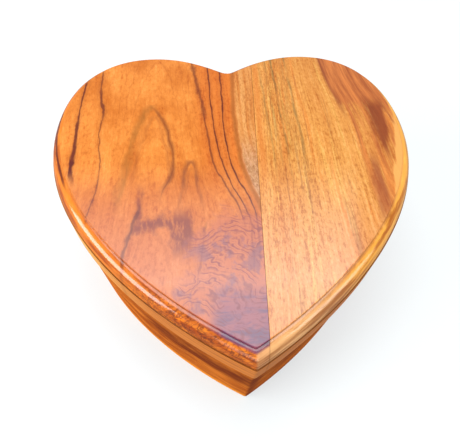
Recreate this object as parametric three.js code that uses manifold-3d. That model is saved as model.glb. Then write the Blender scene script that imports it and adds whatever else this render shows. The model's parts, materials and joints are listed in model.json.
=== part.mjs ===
// A heart-shaped wooden music box with a wind-up movement under a clear pane.
// Millimetres, +Z up, the heart's tip towards -Y. The box stands on z = 0.
import * as THREE from "three";
import { mergeVertices } from "three/addons/utils/BufferGeometryUtils.js";
import Module from "manifold-3d";

const wasm = await Module();
wasm.setup();

// ---------------------------------------------------------------- driving dimensions
const BOX_WIDTH = 130;
const BOX_HEIGHT = 53;
const LID_DEPTH = 13.5;
const LID_GAP = 0.4; // light gap between lid and case rim
const WALL = 8; // case and lid wall, at the rim
const PANEL_Z = 11; // underside of the bottom panel, leaving room for the key
const PANEL_THICK = 4;
const CHAMBER_TOP = 36; // top of the partitions, under the clear pane
const FIT = 0.3; // clearance round pieces that drop into a pocket

const HALF = BOX_WIDTH / 2;
const FLOOR = PANEL_Z + PANEL_THICK; // inside floor, where the movement stands
const RIM = BOX_HEIGHT - LID_DEPTH - LID_GAP; // top of the case wall
const LID_Z = BOX_HEIGHT - LID_DEPTH; // underside of the lid

// The heart outline, as shares of the half width.
const CLEFT_Y = 0.862 * HALF;
const LOBE = new THREE.Vector2(0.453 * HALF, 1.02 * HALF);
const WIDEST_Y = 0.364 * HALF;
const TIP_Y = -0.97 * HALF;
const TIP_SLOPE = THREE.MathUtils.degToRad(28); // of the sides where they meet at the tip

// Lid edge: a flat band, a small quirk, a rounded moulding and a step up to the top face.
const BAND_TOP = BOX_HEIGHT - 5.3;
const QUIRK = 0.35;
const STEP = 1;
const TOP_INSET = 4;
const SEAM_X = 7; // joint between the two lid boards, where it crosses the x axis
const SEAM_TURN = THREE.MathUtils.degToRad(-3.2);
const GLUE = 0.1;
const LID_RECESS = 5;
const FELT = 1;

// Case wall: slightly inside the lid's band, and tapering in towards the table.
const CASE_INSET_TOP = 0.6;
const CASE_INSET_BOTTOM = 2.2;
const REBATE = 5; // wall left beside the bottom panel, measured as an inset

// Hinges, one at the back of each lobe.
const KNUCKLE_R = 1.7;
const HINGE_Y = LOBE.y + KNUCKLE_R + FIT;
const HINGE_Z = LID_Z - LID_GAP / 2;
const HINGE_LENGTH = 18;
const LEAF_THICK = 0.9;
const LEAF_FRONT = LOBE.y - 6.4;
const PIN_R = 0.75;

// Movement chamber, inside its partitions.
const CHAMBER = { x: 27, front: 2.6, rear: 44.6, wall: 3 };
const PANE_THICK = 2;

// Movement, in its own frame: the middle of the bedplate's underside.
const MOVEMENT = new THREE.Vector3(0, 23.1, FLOOR);
const PLATE = { x: 25, y: 19, thick: 1.5 };
const SPRING_X = -12; // axis of the spring, arbor, key and drive wheel
const CYLINDER_Z = 9.5; // axis of the music cylinder
const CYLINDER_R = 6.5;
const TUNE_PIN = 0.6;
const CYLINDER = { from: 2.6, to: 19 };
const NOTES = 18;
const NOTE_PITCH = (CYLINDER.to - CYLINDER.from - 1) / (NOTES - 1);
const CROWN = { teeth: 36, r: 11, module: 0.611 };
const CROWN_PINION_TEETH = 12;
const TRAIN = { module: 0.4, wheel: 36, pinion: 9 };
const GOVERNOR_Y = (TRAIN.module * (TRAIN.wheel + TRAIN.pinion)) / 2;
const WORM = { module: 0.375, teeth: 24, r: 1.3, x: 22 };
const WORM_Y = GOVERNOR_Y + (WORM.module * WORM.teeth) / 2 + WORM.r;
const ARBOR_R = 1.6; // winding arbor
const LEVER_PIVOT = new THREE.Vector2(0, 17.5); // y and z

// ---------------------------------------------------------------- materials
const material = (color, roughness, metalness = 0) =>
  new THREE.MeshStandardMaterial({ color, roughness, metalness });
const lidWood = material(0xe08a3c, 0.25);
const lidWoodLight = material(0xe39a52, 0.25);
const caseWood = material(0xb8602e, 0.3);
const partitionWood = material(0xc99b62, 0.6);
const felt = material(0x7a1f2b, 0.95);
const clearPane = new THREE.MeshStandardMaterial({
  color: 0xe8f0f2,
  roughness: 0.08,
  transparent: true,
  opacity: 0.3,
});
const brass = material(0xc9a14a, 0.3, 1);
const steel = material(0xa9abae, 0.35, 1);
const castPlate = material(0x9b9c9a, 0.5, 1);
const nylon = material(0xe9e6dc, 0.5);
const springSteel = material(0x56606e, 0.3, 1);

// ---------------------------------------------------------------- solids
function toSolid(geometry) {
  const bare = geometry.clone();
  bare.deleteAttribute("normal");
  bare.deleteAttribute("uv");
  const merged = mergeVertices(bare, 1e-4);
  return new wasm.Manifold(
    new wasm.Mesh({
      numProp: 3,
      vertProperties: new Float32Array(merged.attributes.position.array),
      triVerts: new Uint32Array(merged.index.array),
    }),
  );
}

function toGeometry(solid) {
  const mesh = solid.getMesh();
  const geometry = new THREE.BufferGeometry();
  geometry.setAttribute("position", new THREE.BufferAttribute(mesh.vertProperties, 3));
  geometry.setIndex(new THREE.BufferAttribute(mesh.triVerts, 1));
  geometry.computeVertexNormals();
  return geometry;
}

const join = (...parts) => toGeometry(parts.map(toSolid).reduce((a, b) => a.add(b)));
const cut = (body, ...tools) =>
  toGeometry(tools.map(toSolid).reduce((a, b) => a.subtract(b), toSolid(body)));
const common = (a, b) => toGeometry(toSolid(a).intersect(toSolid(b)));

// A box from its two opposite corners.
function block(x0, y0, z0, x1, y1, z1) {
  const geometry = new THREE.BoxGeometry(x1 - x0, y1 - y0, z1 - z0);
  return geometry.translate((x0 + x1) / 2, (y0 + y1) / 2, (z0 + z1) / 2);
}

// Cylinders that run from a to b: one upright, one lying along x.
function post(x, y, radius, a, b, sides = 20) {
  const geometry = new THREE.CylinderGeometry(radius, radius, b - a, sides);
  return geometry.rotateX(Math.PI / 2).translate(x, y, (a + b) / 2);
}
function rodX(y, z, radius, a, b, sides = 20) {
  const geometry = new THREE.CylinderGeometry(radius, radius, b - a, sides);
  return geometry.rotateZ(Math.PI / 2).translate((a + b) / 2, y, z);
}

// A shape drawn in plan and raised from z0 to z1.
function slab(shape, z0, z1, curveSegments = 12) {
  const geometry = new THREE.ExtrudeGeometry(shape, {
    depth: z1 - z0,
    bevelEnabled: false,
    curveSegments,
  });
  return geometry.translate(0, 0, z0);
}

// A shape drawn in the y-z plane and extruded from x0 to x1.
function slabX(shape, x0, x1, curveSegments = 12) {
  return slab(shape, x0, x1, curveSegments).rotateX(Math.PI / 2).rotateZ(Math.PI / 2);
}

const polygon = (...points) => new THREE.Shape(points.map(([x, y]) => new THREE.Vector2(x, y)));

// Skin over a stack of rings with equal numbers of points, closed by a cap at each end.
// The rings run anticlockwise as seen from the far end of the stack.
function loft(rings) {
  const count = rings[0].length;
  const index = [];
  for (let level = 0; level + 1 < rings.length; level += 1) {
    for (let i = 0; i < count; i += 1) {
      const a = level * count + i;
      const b = level * count + ((i + 1) % count);
      index.push(a, b, b + count, a, b + count, a + count);
    }
  }
  const last = (rings.length - 1) * count;
  for (const [a, b, c] of capTriangles(rings[0])) {
    index.push(c, b, a);
  }
  for (const [a, b, c] of capTriangles(rings[rings.length - 1])) {
    index.push(last + a, last + b, last + c);
  }
  const geometry = new THREE.BufferGeometry().setFromPoints(rings.flat());
  geometry.setIndex(index);
  return geometry;
}

// Triangles of a flat ring, found in the plane that the ring lies in.
function capTriangles(ring) {
  const centre = ring.reduce((sum, p) => sum.add(p), new THREE.Vector3()).divideScalar(ring.length);
  const normal = new THREE.Vector3();
  ring.forEach((p, i) => {
    const next = ring[(i + 1) % ring.length];
    normal.add(p.clone().sub(centre).cross(next.clone().sub(centre)));
  });
  normal.normalize();
  const u = ring[1].clone().sub(ring[0]).normalize();
  const v = normal.clone().cross(u);
  const flat = ring.map((p) => new THREE.Vector2(p.dot(u), p.dot(v)));
  return THREE.ShapeUtils.triangulateShape(flat, []);
}

// ---------------------------------------------------------------- heart outline
// Right half, from the cleft over the lobe and down the side to the tip.
function heartCurves() {
  const cleft = new THREE.Vector2(0, CLEFT_Y);
  const side = new THREE.Vector2(HALF, WIDEST_Y);
  const tip = new THREE.Vector2(0, TIP_Y);
  const from = (point, x, y) => new THREE.Vector2(point.x + x * HALF, point.y + y * HALF);
  const tipReach = 0.436;
  return [
    new THREE.CubicBezierCurve(cleft, from(cleft, 0.03, 0), from(LOBE, -0.255, 0), LOBE),
    new THREE.CubicBezierCurve(LOBE, from(LOBE, 0.293, 0), from(side, 0, 0.465), side),
    new THREE.CubicBezierCurve(
      side,
      from(side, 0, -0.648),
      from(tip, tipReach * Math.cos(TIP_SLOPE), tipReach * Math.sin(TIP_SLOPE)),
      tip,
    ),
  ];
}

// The right half moved inwards by `inset` and mitred at the tip.
function insetHalf(inset) {
  const steps = 40;
  const points = [];
  for (const curve of heartCurves()) {
    for (let i = points.length ? 1 : 0; i <= steps; i += 1) {
      const p = curve.getPoint(i / steps);
      const along = curve.getTangent(i / steps);
      points.push(new THREE.Vector2(p.x + inset * along.y, p.y - inset * along.x));
    }
  }
  const crossing = points.findIndex((p, i) => i > steps && p.x <= 0);
  const [a, b] = [points[crossing - 1], points[crossing]];
  const mitre = a.clone().lerp(b, a.x / (a.x - b.x));
  return [...points.slice(0, crossing), new THREE.Vector2(0, mitre.y)];
}

// The same line with `count` points spaced evenly along it.
function respace(points, count) {
  const path = new THREE.CurvePath();
  for (let i = 0; i + 1 < points.length; i += 1) {
    path.add(new THREE.LineCurve(points[i], points[i + 1]));
  }
  return Array.from({ length: count }, (_, i) => path.getPoint(i / (count - 1)));
}

// The whole outline, anticlockwise from the cleft, at height z.
function heartRing(inset, z, halfCount = 34) {
  const right = respace(insetHalf(inset), halfCount);
  right[0].x = 0;
  right[halfCount - 1].x = 0;
  const left = right.slice(1, -1).map((p) => new THREE.Vector2(-p.x, p.y));
  return [right[0], ...left, ...right.slice(1).reverse()].map(
    (p) => new THREE.Vector3(p.x, p.y, z),
  );
}

// A heart-shaped solid from [inset, height] pairs, lowest first.
const heartSolid = (levels, halfCount) =>
  loft(levels.map(([inset, z]) => heartRing(inset, z, halfCount)));

// ---------------------------------------------------------------- screws
// Upright screw, head down at z = 0 and shank up to `length`, with a slot across the head.
function screw(headR, headHeight, shankR, length) {
  const profile = [
    [0, -headHeight],
    [headR * 0.85, -headHeight],
    [headR, -headHeight * 0.6],
    [headR, 0],
    [shankR, 0],
    [shankR, length - shankR],
    [0, length],
  ];
  const body = new THREE.LatheGeometry(
    profile.map(([r, z]) => new THREE.Vector2(r, z)),
    10,
  ).rotateX(Math.PI / 2);
  const slotHalf = headR * 0.13;
  const slot = block(
    -headR * 1.2,
    -slotHalf,
    -headHeight - 1,
    headR * 1.2,
    slotHalf,
    -headHeight * 0.5,
  );
  return cut(body, slot);
}

// ---------------------------------------------------------------- assembly
const box = new THREE.Group();
const lid = new THREE.Group();
const movement = new THREE.Group();
movement.position.copy(MOVEMENT);
box.add(lid, movement);

function piece(parent, name, geometry, look) {
  const mesh = new THREE.Mesh(geometry, look);
  mesh.name = name;
  parent.add(mesh);
  return mesh;
}

// ---------------------------------------------------------------- hinges
const HINGE_SIDES = { left: -LOBE.x, right: LOBE.x };
const LEAF_SCREWS = [-5.6, 5.6];
const LEAF_SCREW_Y = LOBE.y - 3.6;
const LEAF_SCREW = { headR: 1.35, head: 0.6, shankR: 0.8, length: 4.6 };
// Knuckles along the pin: the case leaf has the outer two, the lid leaf the middle one.
const KNUCKLES = { case: [[-9, -3.3], [3.3, 9]], lid: [[-3, 3]] };

// A leaf lying from z0 to z1, with its knuckles round the pin.
function hingeLeaf(x, z0, z1, spans) {
  const plateEnd = HINGE_Y - KNUCKLE_R - 0.4;
  const plate = block(x - HINGE_LENGTH / 2, LEAF_FRONT, z0, x + HINGE_LENGTH / 2, plateEnd, z1);
  const knuckles = spans.flatMap(([a, b]) => [
    block(x + a, plateEnd - 0.2, z0, x + b, HINGE_Y, z1),
    rodX(HINGE_Y, HINGE_Z, KNUCKLE_R, x + a, x + b, 16),
  ]);
  const bore = rodX(HINGE_Y, HINGE_Z, PIN_R + 0.1, x - HINGE_LENGTH, x + HINGE_LENGTH, 12);
  const holes = LEAF_SCREWS.map((dx) =>
    post(x + dx, LEAF_SCREW_Y, LEAF_SCREW.headR + 0.15, z0 - 1, z1 + 1, 14),
  );
  return cut(join(plate, ...knuckles), bore, ...holes);
}

// The pin passes all three knuckles and has a flat head beyond each end one.
function hingePin(x) {
  const headR = 1.2;
  const headFrom = HINGE_LENGTH / 2 + 0.2;
  const headTo = headFrom + 0.6;
  const shaft = rodX(HINGE_Y, HINGE_Z, PIN_R, x - headTo, x + headTo, 16);
  const leftHead = rodX(HINGE_Y, HINGE_Z, headR, x - headTo, x - headFrom, 16);
  const rightHead = rodX(HINGE_Y, HINGE_Z, headR, x + headFrom, x + headTo, 16);
  return join(shaft, leftHead, rightHead);
}

function addHinges() {
  for (const [side, x] of Object.entries(HINGE_SIDES)) {
    const caseLeaf = hingeLeaf(x, RIM - LEAF_THICK, RIM, KNUCKLES.case);
    const lidLeaf = hingeLeaf(x, LID_Z, LID_Z + LEAF_THICK, KNUCKLES.lid);
    piece(box, `hinge_${side}_case_leaf`, caseLeaf, brass);
    piece(lid, `hinge_${side}_lid_leaf`, lidLeaf, brass);
    piece(box, `hinge_${side}_pin`, hingePin(x), brass);
    LEAF_SCREWS.forEach((dx, i) => {
      const down = screw(LEAF_SCREW.headR, LEAF_SCREW.head, LEAF_SCREW.shankR, LEAF_SCREW.length);
      const up = down.clone();
      down.rotateX(Math.PI).translate(x + dx, LEAF_SCREW_Y, RIM - LEAF_SCREW.head - 0.1);
      up.translate(x + dx, LEAF_SCREW_Y, LID_Z + LEAF_SCREW.head + 0.1);
      piece(box, `hinge_${side}_case_screw_${i + 1}`, down, brass);
      piece(lid, `hinge_${side}_lid_screw_${i + 1}`, up, brass);
    });
  }
}

// Pockets for the leaves and pilot holes for their screws, for the wood above or below the joint.
function hingeMortises(z0, z1, holeFrom, holeTo) {
  return Object.values(HINGE_SIDES).flatMap((x) => [
    block(
      x - HINGE_LENGTH / 2 - 0.2,
      LEAF_FRONT - 0.2,
      z0,
      x + HINGE_LENGTH / 2 + 0.2,
      HINGE_Y + 4,
      z1,
    ),
    ...LEAF_SCREWS.map((dx) =>
      post(x + dx, LEAF_SCREW_Y, LEAF_SCREW.shankR + 0.15, holeFrom, holeTo, 12),
    ),
  ]);
}

// ---------------------------------------------------------------- case
const PANEL_SCREWS = [0.3, 0.76].flatMap((share) => {
  const p = respace(insetHalf(6.6), 101)[Math.round(share * 100)];
  return [new THREE.Vector2(p.x, p.y), new THREE.Vector2(-p.x, p.y)];
});
const MOVEMENT_SCREWS = [[-21.5, -15.5], [-21.5, 15.5], [10, 15.5]];

function addCase() {
  const outside = heartSolid([[CASE_INSET_BOTTOM, 0], [CASE_INSET_TOP, RIM]]);
  const underside = heartSolid([[REBATE, -1], [REBATE, FLOOR]]);
  const inside = heartSolid([[WALL, FLOOR - 1], [WALL, RIM + 1]]);
  const pilots = PANEL_SCREWS.map((p) => post(p.x, p.y, 1.05, FLOOR - 1, FLOOR + 8, 12));
  const mortises = hingeMortises(RIM - LEAF_THICK, RIM + 1, RIM - 7, RIM);
  piece(box, "case_wall", cut(outside, underside, inside, ...pilots, ...mortises), caseWood);

  const panel = heartSolid([[REBATE + FIT, PANEL_Z], [REBATE + FIT, FLOOR]]);
  const arborHole = post(MOVEMENT.x + SPRING_X, MOVEMENT.y, 3, PANEL_Z - 1, FLOOR + 1);
  const screwHoles = [
    ...PANEL_SCREWS.map((p) => post(p.x, p.y, 1.05, PANEL_Z - 1, FLOOR + 1, 12)),
    ...MOVEMENT_SCREWS.map(([x, y]) =>
      post(MOVEMENT.x + x, MOVEMENT.y + y, 1.6, PANEL_Z - 1, FLOOR + 1, 12),
    ),
  ];
  piece(box, "bottom_panel", cut(panel, arborHole, ...screwHoles), caseWood);
  PANEL_SCREWS.forEach((p, i) => {
    const fixing = screw(1.4, 1, 0.8, PANEL_THICK + 6).translate(p.x, p.y, PANEL_Z);
    piece(box, `panel_screw_${i + 1}`, fixing, steel);
  });
}

// ---------------------------------------------------------------- partitions, pane and felt
function addChamber() {
  const { x, front, rear, wall } = CHAMBER;
  const inside = heartSolid([[WALL + FIT, FLOOR], [WALL + FIT, CHAMBER_TOP]]);
  const across = block(-HALF, front - wall, FLOOR, HALF, front, CHAMBER_TOP);
  piece(box, "divider", common(inside, across), partitionWood);
  const back = block(-x - wall, rear, FLOOR, x + wall, rear + wall, CHAMBER_TOP);
  piece(box, "chamber_wall_rear", common(inside, back), partitionWood);
  for (const [name, x0] of [["left", -x - wall], ["right", x]]) {
    const strip = block(x0, front, FLOOR, x0 + wall, rear, CHAMBER_TOP);
    piece(box, `chamber_wall_${name}`, strip, partitionWood);
  }

  const pane = common(
    heartSolid([[WALL + FIT, CHAMBER_TOP], [WALL + FIT, CHAMBER_TOP + PANE_THICK]]),
    block(-x - wall, front - wall, CHAMBER_TOP, x + wall, rear + wall, CHAMBER_TOP + PANE_THICK),
  );
  const fingerSlot = block(21.5, 16.6, 0, 24.7, 20.6, 60).translate(MOVEMENT.x, MOVEMENT.y, 0);
  piece(box, "chamber_pane", cut(pane, fingerSlot), clearPane);

  const floorFelt = heartSolid([[WALL + 2 * FIT, FLOOR], [WALL + 2 * FIT, FLOOR + FELT]]);
  const keepFront = block(-HALF, 2 * TIP_Y, 0, HALF, front - wall - FIT, HALF);
  piece(box, "felt_front", common(floorFelt, keepFront), felt);
  const chamberBlock = block(
    -x - wall - FIT,
    0,
    0,
    x + wall + FIT,
    rear + wall + FIT,
    HALF,
  );
  for (const [name, x0] of [["left", -HALF], ["right", 0]]) {
    const half = block(x0, front + FIT, 0, x0 + HALF, 2 * HALF, HALF);
    const cleftCut = block(-2, front, 0, 2, 2 * HALF, HALF);
    piece(box, `felt_${name}`, cut(common(floorFelt, half), chamberBlock, cleftCut), felt);
  }
}

// ---------------------------------------------------------------- lid
function addLid() {
  const roundSteps = 5;
  const moulding = Array.from({ length: roundSteps + 1 }, (_, i) => {
    const turn = ((Math.PI / 2) * i) / roundSteps;
    const inset = TOP_INSET - (TOP_INSET - QUIRK) * Math.cos(turn);
    const rise = BAND_TOP + 0.2 + (BOX_HEIGHT - STEP - BAND_TOP - 0.2) * Math.sin(turn);
    return [inset, rise];
  });
  const outside = heartSolid([
    [0, LID_Z],
    [0, BAND_TOP],
    ...moulding,
    [TOP_INSET, BOX_HEIGHT],
  ]);
  const recess = heartSolid([[WALL, LID_Z - 1], [WALL, LID_Z + LID_RECESS]]);
  const mortises = hingeMortises(LID_Z - 1, LID_Z + LEAF_THICK, LID_Z, LID_Z + 7);
  const whole = cut(outside, recess, ...mortises);
  for (const [name, side, look] of [["left", 1, lidWood], ["right", -1, lidWoodLight]]) {
    const away = new THREE.BoxGeometry(2 * BOX_WIDTH, 2 * BOX_WIDTH, 2 * BOX_WIDTH);
    away.translate(side * (BOX_WIDTH - GLUE / 2), 0, 0).rotateZ(SEAM_TURN).translate(SEAM_X, 0, 0);
    piece(lid, `lid_board_${name}`, cut(whole, away), look);
  }
  const liningTop = LID_Z + LID_RECESS;
  const lining = heartSolid([[WALL + FIT, liningTop - FELT], [WALL + FIT, liningTop]]);
  piece(lid, "lid_felt", lining, felt);
}

// ---------------------------------------------------------------- gears
// Radii of a straight-flanked tooth's tip and root, and its half angle at each.
function toothCorners(pitchR, module, teeth, slack) {
  const addendum = 0.85 * module;
  const dedendum = 1.15 * module;
  const pressureAngle = THREE.MathUtils.degToRad(20);
  const half = (Math.PI * pitchR) / teeth / 2 - slack / 2;
  const lean = Math.tan(pressureAngle);
  return {
    tipR: pitchR + addendum,
    rootR: pitchR - dedendum,
    tipHalf: (half - addendum * lean) / (pitchR + addendum),
    rootHalf: (half + dedendum * lean * 0.6) / (pitchR - dedendum),
  };
}

// Outline of a spur gear, with a tooth's middle on the first axis.
function gearOutline(teeth, module, slack = 0.14) {
  const { tipR, rootR, tipHalf, rootHalf } = toothCorners((teeth * module) / 2, module, teeth, slack);
  return Array.from({ length: teeth }, (_, i) => {
    const middle = (2 * Math.PI * i) / teeth;
    return [
      [rootR, -rootHalf],
      [tipR, -tipHalf],
      [tipR, tipHalf],
      [rootR, rootHalf],
    ].map(([r, a]) => new THREE.Vector2(r * Math.cos(middle + a), r * Math.sin(middle + a)));
  }).flat();
}

// A gear whose axis lies along x, from a to b, turned by `phase` and twisted by `twist`.
function gearX(outline, y, z, a, b, phase = 0, twist = 0) {
  const ring = (x, turn) =>
    outline.map((p) => {
      const q = p.clone().rotateAround(new THREE.Vector2(), turn);
      return new THREE.Vector3(x, y + q.x, z + q.y);
    });
  return loft([ring(a, phase - twist / 2), ring(b, phase + twist / 2)]);
}

// ---------------------------------------------------------------- spring, arbor and key
function addSpringGroup() {
  const x = SPRING_X;
  const housingR = 9.2;
  const housingTop = 11.4;
  const shell = new THREE.LatheGeometry(
    [
      [2, housingTop],
      [2, housingTop - 1],
      [housingR - 1, housingTop - 1],
      [housingR - 1, PLATE.thick + 0.05],
      [housingR, PLATE.thick + 0.05],
      [housingR, housingTop - 0.8],
      [housingR - 0.8, housingTop],
      [2, housingTop],
    ].map(([r, z]) => new THREE.Vector2(r, z)),
    40,
  );
  piece(movement, "spring_housing", shell.rotateX(Math.PI / 2).translate(x, 0, 0), castPlate);
  piece(movement, "mainspring", mainspring(x, 0, PLATE.thick + 0.5, housingTop - 1.5), springSteel);

  // Arbor: round through the plate and housing, with a collar, squared for the ratchet wheel.
  const arbor = new THREE.LatheGeometry(
    [
      [0, -12.6],
      [1.2, -12.6],
      [1.2, -3.4],
      [ARBOR_R, -3.4],
      [ARBOR_R, 15.5],
      [1, 15.5],
      [1, 19],
      [0, 19],
    ].map(([r, z]) => new THREE.Vector2(r, z)),
    20,
  );
  piece(movement, "winding_arbor", arbor.rotateX(Math.PI / 2).translate(x, 0, 0), steel);
  piece(movement, "wind_key", windKey(x), steel);
}

// Flat steel strip in a spiral round the arbor.
function mainspring(x, y, z0, z1) {
  const turns = 4;
  const inner = 2.3;
  const outer = 7.6;
  const half = 0.18;
  const steps = turns * 22;
  const rings = [];
  for (let i = 0; i <= steps; i += 1) {
    const angle = (2 * Math.PI * turns * i) / steps;
    const r = inner + ((outer - inner) * i) / steps;
    const [c, s] = [Math.cos(angle), Math.sin(angle)];
    const at = (radius, z) => new THREE.Vector3(x + radius * c, y + radius * s, z);
    rings.push([at(r - half, z0), at(r - half, z1), at(r + half, z1), at(r + half, z0)]);
  }
  return loft(rings);
}

// Key under the panel: a threaded hub on the arbor and two flat wings with a hole in each.
function windKey(x) {
  const top = -5.6;
  const bottom = -13.4;
  const hub = post(x, 0, 2.4, bottom, top, 20);
  const wing = new THREE.Shape();
  wing.moveTo(0, -6.4);
  wing.lineTo(4, -6.4);
  wing.absarc(6.6, -10.2, 3.4, Math.PI / 2, -Math.PI / 2, true);
  wing.lineTo(0, -13.6);
  const other = new THREE.Shape(wing.getPoints(10).map((p) => new THREE.Vector2(-p.x, p.y)));
  const hole = (side) => {
    const tool = new THREE.CylinderGeometry(1.7, 1.7, 4, 16);
    return tool.translate(x + side * 6.4, 0, -10.1);
  };
  const wings = [wing, other].map((shape) =>
    slab(shape, -0.6, 0.6, 10).rotateX(Math.PI / 2).translate(x, 0, 0),
  );
  const thread = post(x, 0, 1.3, bottom - 1, top + 1, 20);
  return cut(join(hub, ...wings), thread, hole(1), hole(-1));
}

// ---------------------------------------------------------------- drive wheel, ratchet and click
const WHEEL_UNDER = CYLINDER_Z + CROWN.r / (CROWN.teeth / CROWN_PINION_TEETH) + 0.75;
const WHEEL_TOP = WHEEL_UNDER + 1.3;
const RATCHET_R = 5;
const RATCHET_ROOT = 4.1;
const CLICK_PIVOT = new THREE.Vector2(SPRING_X + 2.6, 7.4);

// One tooth of the crown wheel: a wedge hanging below the rim, widening outwards.
function crownTooth(middle) {
  const depth = 1.15;
  const slack = 0.82; // share of half a pitch that the tooth fills at its middle height
  const pitchHalf = (Math.PI / CROWN.teeth / 2) * slack;
  const rootHalf = pitchHalf + 0.019;
  const tipHalf = pitchHalf - 0.016;
  const section = (r) => {
    const at = (turn, z) =>
      new THREE.Vector3(r * Math.cos(middle + turn), r * Math.sin(middle + turn), z);
    return [
      at(-rootHalf, WHEEL_UNDER + 0.1),
      at(-tipHalf, WHEEL_UNDER - depth),
      at(tipHalf, WHEEL_UNDER - depth),
      at(rootHalf, WHEEL_UNDER + 0.1),
    ];
  };
  return loft([section(CROWN.r - 1), section(CROWN.r + 1)]);
}

function addDriveGroup() {
  const disc = post(0, 0, CROWN.r + 1.2, WHEEL_UNDER, WHEEL_TOP, 48);
  const teeth = Array.from({ length: CROWN.teeth }, (_, i) =>
    crownTooth((2 * Math.PI * (i + 0.5)) / CROWN.teeth),
  );
  const bore = post(0, 0, ARBOR_R + 0.1, 0, 30, 20);
  const clickHole = post(CLICK_PIVOT.x - SPRING_X, CLICK_PIVOT.y, 0.75, 0, 30, 12);
  const wheel = cut(join(disc, ...teeth), bore, clickHole).translate(SPRING_X, 0, 0);
  piece(movement, "drive_wheel", wheel, brass);

  const ratchetTeeth = 12;
  const corners = [];
  for (let i = 0; i < ratchetTeeth; i += 1) {
    const turn = (2 * Math.PI * i) / ratchetTeeth;
    const next = (2 * Math.PI * (i + 0.9)) / ratchetTeeth;
    corners.push([RATCHET_R * Math.cos(turn), RATCHET_R * Math.sin(turn)]);
    corners.push([RATCHET_ROOT * Math.cos(next), RATCHET_ROOT * Math.sin(next)]);
  }
  const ratchet = slab(polygon(...corners), WHEEL_TOP + FIT, WHEEL_TOP + 1.5);
  const shaft = post(0, 0, 1.1, 0, 30, 20);
  piece(movement, "ratchet_wheel", cut(ratchet, shaft).translate(SPRING_X, 0, 0), steel);
  const nutZ = WHEEL_TOP + 1.8;
  const nut = cut(post(0, 0, 2.2, nutZ, nutZ + 1.2, 6), shaft);
  piece(movement, "arbor_nut", nut.translate(SPRING_X, 0, 0), brass);

  // Click: an arm from its pivot, its tip just clear of the ratchet's crest.
  const reach = polygon([0.3, -1.1], [-3.6, -2.3], [-4.4, -2.5], [-4.1, -1.4], [-0.6, 1], [0.8, 0.8]);
  const arm = slab(reach, WHEEL_TOP + FIT, WHEEL_TOP + 1.3);
  const eye = post(0, 0, 1.5, WHEEL_TOP + FIT, WHEEL_TOP + 1.3, 16);
  const click = cut(join(arm, eye), post(0, 0, 0.85, 0, 30, 12));
  piece(movement, "click", click.translate(CLICK_PIVOT.x, CLICK_PIVOT.y, 0), steel);
  const headUp = screw(1.3, 0.8, 0.6, 2.4).rotateX(Math.PI);
  const clickScrew = headUp.translate(CLICK_PIVOT.x, CLICK_PIVOT.y, WHEEL_TOP + 1.6);
  piece(movement, "click_screw", clickScrew, steel);
}

// ---------------------------------------------------------------- music cylinder
function addCylinderGroup() {
  const z = CYLINDER_Z;
  const barrel = rodX(0, z, CYLINDER_R, CYLINDER.from, CYLINDER.to, 36);
  const pinsPerNote = 3;
  const places = 36; // steps round the barrel at which a pin can stand
  const pins = [];
  for (let note = 0; note < NOTES; note += 1) {
    for (let i = 0; i < pinsPerNote; i += 1) {
      // Spread like a tune: each note starts five places on, and its pins stand thirteen apart.
      const place = note * 5 + (note % 4) * 3 + i * 13 + 0.5;
      const turn = (2 * Math.PI * place) / places;
      const pin = new THREE.BoxGeometry(0.36, TUNE_PIN + 1, 0.36);
      pin.translate(0, CYLINDER_R + (TUNE_PIN - 1) / 2, 0).rotateX(turn);
      pins.push(pin.translate(CYLINDER.from + 0.5 + note * NOTE_PITCH, 0, z));
    }
  }
  const bore = rodX(0, z, 0.95, 0, 22, 16);
  piece(movement, "music_cylinder", cut(join(barrel, ...pins), bore), brass);
  piece(movement, "cylinder_arbor", rodX(0, z, 0.85, -2.6, 22, 16), steel);

  const hole = rodX(0, z, 0.95, -5, 25, 16);
  const pinion = gearX(
    gearOutline(CROWN_PINION_TEETH, CROWN.module),
    0,
    z,
    SPRING_X + CROWN.r - 0.9,
    SPRING_X + CROWN.r + 0.9,
    Math.PI / 2,
  );
  piece(movement, "cylinder_pinion", cut(pinion, hole), brass);
  const wheel = gearX(gearOutline(TRAIN.wheel, TRAIN.module), 0, z, 19.4, 20.6, 0);
  piece(movement, "cylinder_gear", cut(wheel, hole), nylon);

  for (const [name, x0, x1] of [["left", 0.7, 2.1], ["right", 21, 22.2]]) {
    const top = name === "left" ? 12 : LEVER_PIVOT.y + 1.4;
    const profile = polygon(
      [-4.5, PLATE.thick],
      [4.5, PLATE.thick],
      [2.2, z + 1],
      [1.4, top],
      [-1.4, top],
      [-2.2, z + 1],
    );
    const holes = [rodX(0, z, 0.95, -5, 25, 16)];
    if (name === "right") {
      holes.push(rodX(LEVER_PIVOT.x, LEVER_PIVOT.y, 0.6, 15, 25, 12));
    }
    piece(movement, `cylinder_bracket_${name}`, cut(slabX(profile, x0, x1), ...holes), castPlate);
  }
}

// ---------------------------------------------------------------- comb
const COMB = { rear: -CYLINDER_R - TUNE_PIN - 0.4, root: -13, front: -17.6, thick: 0.8 };
const COMB_SCREWS = [5.6, 16];

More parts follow.
